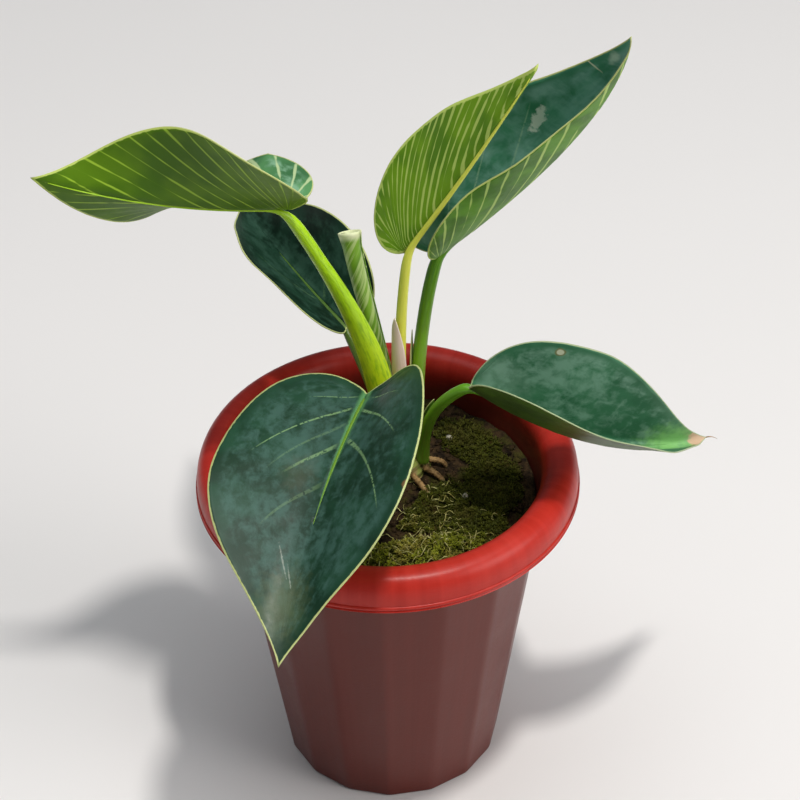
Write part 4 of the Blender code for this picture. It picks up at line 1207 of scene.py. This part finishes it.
def makeThreads(name, skin, *nodes):
    chance = random.Random(threadMake["seed"])
    shape = bmesh.new()
    for _ in range(threadMake["count"]):
        near = True
        while near:
            patch = mossPatches[chance.choice(threadMake["patches"])]
            angle = math.radians(patch["angle"] + chance.uniform(-1, 1) * patch["spread"])
            reach = (patch["middle"] + chance.uniform(-1, 0.6) * patch["depth"]) * mm
            x, y = reach * math.cos(angle), reach * math.sin(angle)
            near = fromStem(x, y) <= 16 * mm
        length, lift = chance.uniform(*threadMake["length"]) * mm, chance.uniform(*threadMake["lift"]) * mm
        path = wanderingPath(chance, x, y, length, lift)
        radius = chance.uniform(*threadMake["radius"]) * mm
        tube = tubeMesh("thread", path, [(radius, radius)] * len(path), 5)
        shape.from_mesh(tube)
        bpy.data.meshes.remove(tube)
    addPiece(name, meshOf(shape, name), [skin], "dry_strand", *nodes)


earth = earthSkin()
makeSoil(earth)
makeCrumbs(earth)
moss = mossSkin()
makeMossFelt(feltSkin())
for number, (name, patch) in enumerate(mossPatches.items()):
    makeMoss(name, patch, moss, 40 + number)
makeThreads("dryThreads", threadSkin(), "dry_strand_front", "dry_strand_middle")

print("stem, roots and new leaf")

stemRadius = (stemHigh.x - stemLow.x) / 2
stemMake = {
    "steps": 72, "rings": 34, "scars": 5, "scarDepth": 0.5, "lobes": 6, "lobeDepth": 0.045,
    "foot": (0.10, 0.075, 0.025), "top": (0.20, 0.24, 0.04), "patch": (0.26, 0.20, 0.07),
    "scar": (0.06, 0.04, 0.015),
}


def stemSkin():
    skin, tree, shader = newSkin("youngStem", 0.6, 0.4)
    share, turn, run = partsOf(tree, "stalkPlace")
    tone = grain(tree, objectPlace(tree), 300.0, 4.0)
    colour = blendColour(tree, ramp(tree, share, 0.3, 1.0), stemMake["foot"], stemMake["top"])
    colour = blendColour(tree, ramp(tree, tone, 0.45, 0.65), colour, stemMake["patch"])
    ringed = sums(tree, "SINE", times(tree, run, 2.6))
    colour = blendColour(tree, times(tree, ramp(tree, ringed, 0.7, 1.0), 0.5), colour, stemMake["scar"])
    finishSkin(tree, shader, colour, plus(tree, tone, ringed), 0.5, 0.0005)
    return skin


# Short stem, lobed where the stalks leave it, with the ring scars of fallen leaves.
def makeStem(skin):
    steps, rings = stemMake["steps"], stemMake["rings"]
    low, high = stemLow.z, stemTop + 0.5 * mm
    points, marks = [], []
    for row in range(rings):
        share = row / (rings - 1)
        height = low + (high - low) * share
        scar = stemMake["scarDepth"] * mm * max(0, math.sin(share * math.tau * stemMake["scars"])) ** 6
        top = 1 - max(0, share - 0.72) ** 2 * 5.2
        for index in range(steps):
            angle = math.tau * index / steps
            lobe = 1 + stemMake["lobeDepth"] * math.sin(stemMake["lobes"] * angle + share * 2.0) * share
            rough = noise.noise(Vector((math.cos(angle) * 3, math.sin(angle) * 3, height * 260))) * 0.5 * mm
            reach = stemRadius * (0.80 + 0.14 * min(1, share * 3)) * lobe * top - scar + rough
            x, y = reach * math.cos(angle), reach * math.sin(angle)
            points.append((stemAxis.x + x, stemAxis.y + y, height))
            marks.append((share, index / steps, height * 1000))
    mesh = meshFrom("stem", points, closedRings(rings, steps), {"stalkPlace": marks})
    addPiece("shortStem", mesh, [skin], "stem", "stem")


# Aerial roots: angle round the stem, height above the soil, how far they reach, how thick (millimetres).
rootMake = {
    "roots": {"aerial_root_1": (-8, 4.6, 5.0, 1.15), "aerial_root_2": (-34, 4.9, 6.5, 1.3),
              "aerial_root_3": (-62, 4.4, 8.5, 1.2)},
    "steps": 26, "dark": (0.16, 0.09, 0.030), "tan": (0.36, 0.22, 0.085), "tip": (0.40, 0.33, 0.15),
}


def rootSkin():
    skin, tree, shader = newSkin("tanRoot", 0.7, 0.35)
    place = objectPlace(tree)
    share, turn, run = partsOf(tree, "stalkPlace")
    tone = grain(tree, place, 500.0, 4.0)
    colour = blendColour(tree, ramp(tree, tone, 0.35, 0.65), rootMake["dark"], rootMake["tan"])
    colour = blendColour(tree, ramp(tree, share, 0.75, 1.0), colour, rootMake["tip"])
    finishSkin(tree, shader, colour, grain(tree, place, 1300.0, 3.0), 0.6, 0.0004)
    return skin


def makeRoot(name, angle, height, reach, thick, skin):
    out = Vector((math.cos(math.radians(angle)), math.sin(math.radians(angle)), 0))
    side = Vector((-out.y, out.x, 0))
    start = Vector((stemAxis.x, stemAxis.y, soilTop + height * mm)) + out * (stemRadius - 1.5 * mm)
    finish = Vector((stemAxis.x, stemAxis.y, 0)) + out * (stemRadius + reach * mm) + side * 1.2 * mm
    finish.z = onSoil(finish.x, finish.y) - 0.8 * mm
    bend = [start, start + out * 4.5 * mm, finish + Vector((0, 0, 4 * mm)) - side * mm, finish]
    steps = rootMake["steps"]
    sizes = []
    for index in range(steps):
        knot = 1 + 0.10 * math.sin(index * 1.9 + angle) + 0.06 * math.sin(index * 3.7)
        taper = 1 - 0.30 * (index / (steps - 1)) ** 1.5
        sizes.append((thick * mm * knot * taper,) * 2)
    path = [np.array(point) for point in interpolate_bezier(*bend, steps)]
    mesh = tubeMesh(name, path, sizes, 20, (out.y, -out.x, 0.2), 0.0, 0.10, angle)
    addPiece("root_" + name[-1], mesh, [skin], "aerial_root", name)


# New leaf, still rolled: a sheet wound one and a half times, wider and open at its top.
scrollMake = {
    "turns": 1.62, "layers": 0.42, "steps": 66, "rows": 70, "footAcross": 4.0, "topAcross": 7.4,
    "wall": 0.38, "lipSlant": 2.2, "flare": 0.8, "belowTop": 4.5, "green": (0.12, 0.28, 0.012),
    "light": (0.20, 0.40, 0.022),
    "stripe": (0.55, 0.68, 0.27), "foot": (0.30, 0.42, 0.07), "lip": (0.74, 0.78, 0.48),
}


def scrollSkin():
    skin, tree, shader = newSkin("rolledLeaf", 0.42)
    share, wound, _ = partsOf(tree, "scrollPlace")
    slanted = plus(tree, times(tree, share, 30.0), times(tree, wound, 9.0))
    place = vectorOf(tree, slanted, times(tree, wound, 0.8), 4.0)
    stripe = grain(tree, place, 1.0, 3.0, 0.6)
    broad = ramp(tree, grain(tree, place, 0.4, 2.0), 0.35, 0.65)
    colour = blendColour(tree, broad, scrollMake["green"], scrollMake["light"])
    striped = times(tree, ramp(tree, stripe, 0.50, 0.60), 0.7)
    colour = blendColour(tree, striped, colour, scrollMake["stripe"])
    colour = blendColour(tree, ramp(tree, share, 0.35, 0.0), colour, scrollMake["foot"])
    colour = blendColour(tree, ramp(tree, share, 0.955, 0.985), colour, scrollMake["lip"])
    finishSkin(tree, shader, colour, stripe, 0.3, 0.0003)
    return skin


def makeScroll(skin):
    low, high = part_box("rolled_new_leaf")
    footAcross, topAcross = scrollMake["footAcross"], scrollMake["topAcross"]
    rows, steps = scrollMake["rows"], scrollMake["steps"]
    foot = Vector((stemAxis.x + 0.8 * mm, stemAxis.y + 6.0 * mm, stemTop - 1.5 * mm))
    topPlace = high.z - scrollMake["belowTop"] * mm
    finish = Vector((low.x + topAcross / 2 * mm, (low.y + high.y) / 2 - 1.5 * mm, topPlace))
    bend = [foot, foot + Vector((-2, 1, 30)) * mm, finish + Vector((3.5, 0, -30)) * mm, finish]
    path = [np.array(point) for point in interpolate_bezier(*bend, rows)]
    points, marks = [], []
    for row, centre in enumerate(path):
        share = row / (rows - 1)
        ahead = unit(path[min(row + 1, rows - 1)] - path[max(row - 1, 0)])
        across = unit(np.cross(ahead, (0, 1, 0)))
        deep = np.cross(across, ahead)
        outer = (footAcross + (topAcross - footAcross) * share ** 0.8) / 2
        outer += scrollMake["flare"] * max(0, share - 0.93) / 0.07
        slant = scrollMake["lipSlant"] * max(0, share - 0.8) / 0.2
        for index in range(steps):
            turn = index / (steps - 1)
            angle = -1.2 + math.tau * scrollMake["turns"] * turn
            reach = outer * (1 - scrollMake["layers"] * (1 - turn))
            offset = (across * math.cos(angle) + deep * math.sin(angle)) * reach
            points.append(centre + (offset - ahead * slant * math.sin(angle)) * mm)
            marks.append((share, turn * scrollMake["turns"], 0))
    mesh = meshFrom("scroll", points, sheetFaces(rows, steps), {"scrollPlace": marks})
    thicken(addPiece("rolledNewLeaf", mesh, [skin], "new_leaf", "rolled_new_leaf"), scrollMake["wall"], -1)


# Papery scales beside the stalks: stalk, stretch of it, side angle, width, how far round and out they go.
scaleMake = {
    "cataphyll_pink": {
        "stalk": "centre", "span": (0.22, 0.72), "side": 232, "width": 9.0, "wrap": 1.5, "lean": 2.2,
        "slot": "cataphyll", "foot": (0.66, 0.46, 0.26), "top": (0.85, 0.68, 0.56),
        "edge": (0.90, 0.78, 0.68),
    },
    "sheath_tall": {
        "stalk": "tall", "span": (0.16, 0.62), "side": 165, "width": 6.6, "wrap": 1.7, "lean": 0.9,
        "slot": "sheath", "foot": (0.42, 0.52, 0.10), "top": (0.22, 0.40, 0.05), "edge": (0.62, 0.60, 0.26),
    },
    "sheath_low": {
        "stalk": "low", "span": (0.10, 0.60), "side": 120, "width": 6.0, "wrap": 1.6, "lean": 0.7,
        "slot": "sheath", "foot": (0.34, 0.46, 0.08), "top": (0.20, 0.38, 0.05), "edge": (0.56, 0.58, 0.24),
    },
}


def scaleSkin(name, make):
    skin, tree, shader = newSkin(name, 0.5, 0.4)
    share, across, edge = partsOf(tree, "scalePlace")
    lines = grain(tree, vectorOf(tree, times(tree, across, 9), times(tree, share, 1.4), 1.0), 1.5, 3.0)
    colour = blendColour(tree, ramp(tree, share, 0.0, 0.8), make["foot"], make["top"])
    colour = blendColour(tree, times(tree, ramp(tree, lines, 0.5, 0.7), 0.4), colour, make["edge"])
    colour = blendColour(tree, ramp(tree, edge, 0.10, 0.02), colour, make["edge"])
    finishSkin(tree, shader, colour, lines, 0.4, 0.0003)
    return skin


def stalkCentre(leaf, share):
    return curveOf(*stalkBend(leaf, 0, 1.6), np.array([share]))[0]


def makeScale(name, make):
    leaf = leafNamed(make["stalk"])
    rows, columns = 34, 13
    side = math.radians(make["side"])
    outward = np.array([math.cos(side), math.sin(side), 0])
    first, last = make["span"]
    points, marks = [], []
    for row in range(rows):
        share = row / (rows - 1)
        place = first + (last - first) * share
        centre = stalkCentre(leaf, place)
        ahead = unit(stalkCentre(leaf, min(place + 0.01, 1)) - stalkCentre(leaf, place - 0.01))
        out = unit(outward - ahead * np.dot(outward, ahead))
        across = np.cross(ahead, out)
        stalk = leaf["stalkFoot"] + (leaf["stalkTip"] - leaf["stalkFoot"]) * place ** 0.7
        radius = stalk + 0.35 + make["lean"] * share ** 2
        half = make["width"] / 2 * (1 - share ** 2.4) ** 0.9 * (0.75 + 0.25 * min(1, share * 4)) + 0.08
        for column in range(columns):
            part = column / (columns - 1) * 2 - 1
            angle = part * min(make["wrap"], half / (stalk + 0.5))
            spread = out * math.cos(angle) * radius + across * math.sin(angle) * (stalk + 0.6)
            points.append(centre + (spread + across * part * half * 0.12) * mm)
            marks.append((share, part, (1 - abs(part)) * half / (make["width"] / 2)))
    mesh = meshFrom(name, points, sheetFaces(rows, columns), {"scalePlace": marks})
    thicken(addPiece(name + "_skin", mesh, [scaleSkin(name, make)], make["slot"], name), 0.3, 0)


grainMake = {
    "nodes": ("perlite_grain_back", "perlite_grain_right"), "size": 0.92, "bumps": 0.22, "pits": 0.10,
    "dark": (0.24, 0.22, 0.16), "pale": (0.46, 0.44, 0.36),
}


def grainSkin():
    skin, tree, shader = newSkin("perlite", 0.85, 0.3)
    tone = grain(tree, objectPlace(tree), 1200.0, 4.0)
    colour = blendColour(tree, ramp(tree, tone, 0.3, 0.7), grainMake["dark"], grainMake["pale"])
    finishSkin(tree, shader, colour, tone, 0.8, 0.0006)
    return skin


# Puffed grains with pitted, uneven faces.
def makeGrain(name, skin):
    low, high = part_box(name)
    shape = bmesh.new()
    bmesh.ops.create_icosphere(shape, subdivisions=4, radius=(high.x - low.x) / 2)
    for vert in shape.verts:
        bump = noise.noise(vert.co * 900) * grainMake["bumps"]
        pit = noise.noise(vert.co * 2600) * grainMake["pits"]
        vert.co = vert.co * (grainMake["size"] + bump + pit) + (low + high) / 2
    addPiece(name + "_puffed", meshOf(shape, name), [skin], "perlite", name)


makeStem(stemSkin())
root = rootSkin()
for name, (angle, height, reach, thick) in rootMake["roots"].items():
    makeRoot(name, angle, height, reach, thick, root)
makeScroll(scrollSkin())
for name, make in scaleMake.items():
    makeScale(name, make)
puffed = grainSkin()
for name in grainMake["nodes"]:
    makeGrain(name, puffed)

print("table, light and camera")

table = {"size": 6.0, "pale": (0.78, 0.765, 0.755), "paler": (0.81, 0.795, 0.785)}


def makeTable():
    skin, tree, shader = newSkin("paleTable", 0.35, 0.4)
    colour = blendColour(tree, grain(tree, objectPlace(tree), 3.0, 3.0), table["pale"], table["paler"])
    tree.links.new(colour, shader.inputs["Base Color"])
    shape = bmesh.new()
    bmesh.ops.create_grid(shape, x_segments=8, y_segments=8, size=table["size"] / 2)
    mesh = meshOf(shape, "table")
    mesh.materials.append(skin)
    top = bpy.data.objects.new("table", mesh)
    bpy.context.scene.collection.objects.link(top)


makeTable()

# Studio lights: the side they come from, distance from the plant, disk size, power in watts.
lights = {
    "keyLight": {
        "towards": (15, -18, 100), "distance": 2.2, "size": 0.18, "power": 28.0, "colour": (1.0, 0.97, 0.93),
    },
    "sideLight": {
        "towards": (95, -45, 60), "distance": 2.0, "size": 1.2, "power": 19.0, "colour": (1.0, 0.97, 0.95),
    },
    "topLight": {
        "towards": (-10, 10, 100), "distance": 2.0, "size": 2.0, "power": 15.0, "colour": (0.95, 0.98, 1.0),
    },
}
fill = {"strength": 0.16, "colour": (0.90, 0.94, 1.0)}


def addLight(name, towards, distance, size, power, colour):
    lamp = bpy.data.lights.new(name, "AREA")
    lamp.shape = "DISK"
    lamp.size = size
    lamp.energy = power
    lamp.color = colour
    holder = bpy.data.objects.new(name, lamp)
    away = Vector(towards).normalized()
    holder.location = Vector((0, 0, 0.1)) + away * distance
    holder.rotation_euler = away.to_track_quat("Z", "Y").to_euler()
    bpy.context.scene.collection.objects.link(holder)


for name, make in lights.items():
    addLight(name, **make)
world = bpy.data.worlds.new("studio")
world.use_nodes = True
backdrop = world.node_tree.nodes["Background"]
backdrop.inputs["Color"].default_value = (*fill["colour"], 1.0)
backdrop.inputs["Strength"].default_value = fill["strength"]
bpy.context.scene.world = world
bpy.context.scene.view_settings.view_transform = "Standard"

# Camera looks down on the plant from the front.
view = {"place": (0.0, -0.7384, 0.7762), "pitch": 39.19, "yaw": 0.41, "roll": -0.96, "lens": 112.5}
pitch, yaw, lean = (math.radians(view[key]) for key in ("pitch", "yaw", "roll"))
forward = Vector((math.sin(yaw) * math.cos(pitch), math.cos(yaw) * math.cos(pitch), -math.sin(pitch)))
level = Vector((math.cos(yaw), -math.sin(yaw), 0))
upright = level.cross(forward)
right = level * math.cos(lean) + upright * math.sin(lean)
above = upright * math.cos(lean) - level * math.sin(lean)
lens = bpy.data.cameras.new("camera")
lens.lens = view["lens"]
lens.sensor_width = 36
camera = bpy.data.objects.new("camera", lens)
turned = Matrix((right, above, -forward)).transposed()
camera.matrix_world = Matrix.Translation(view["place"]) @ turned.to_4x4()
bpy.context.scene.collection.objects.link(camera)
bpy.context.scene.camera = camera
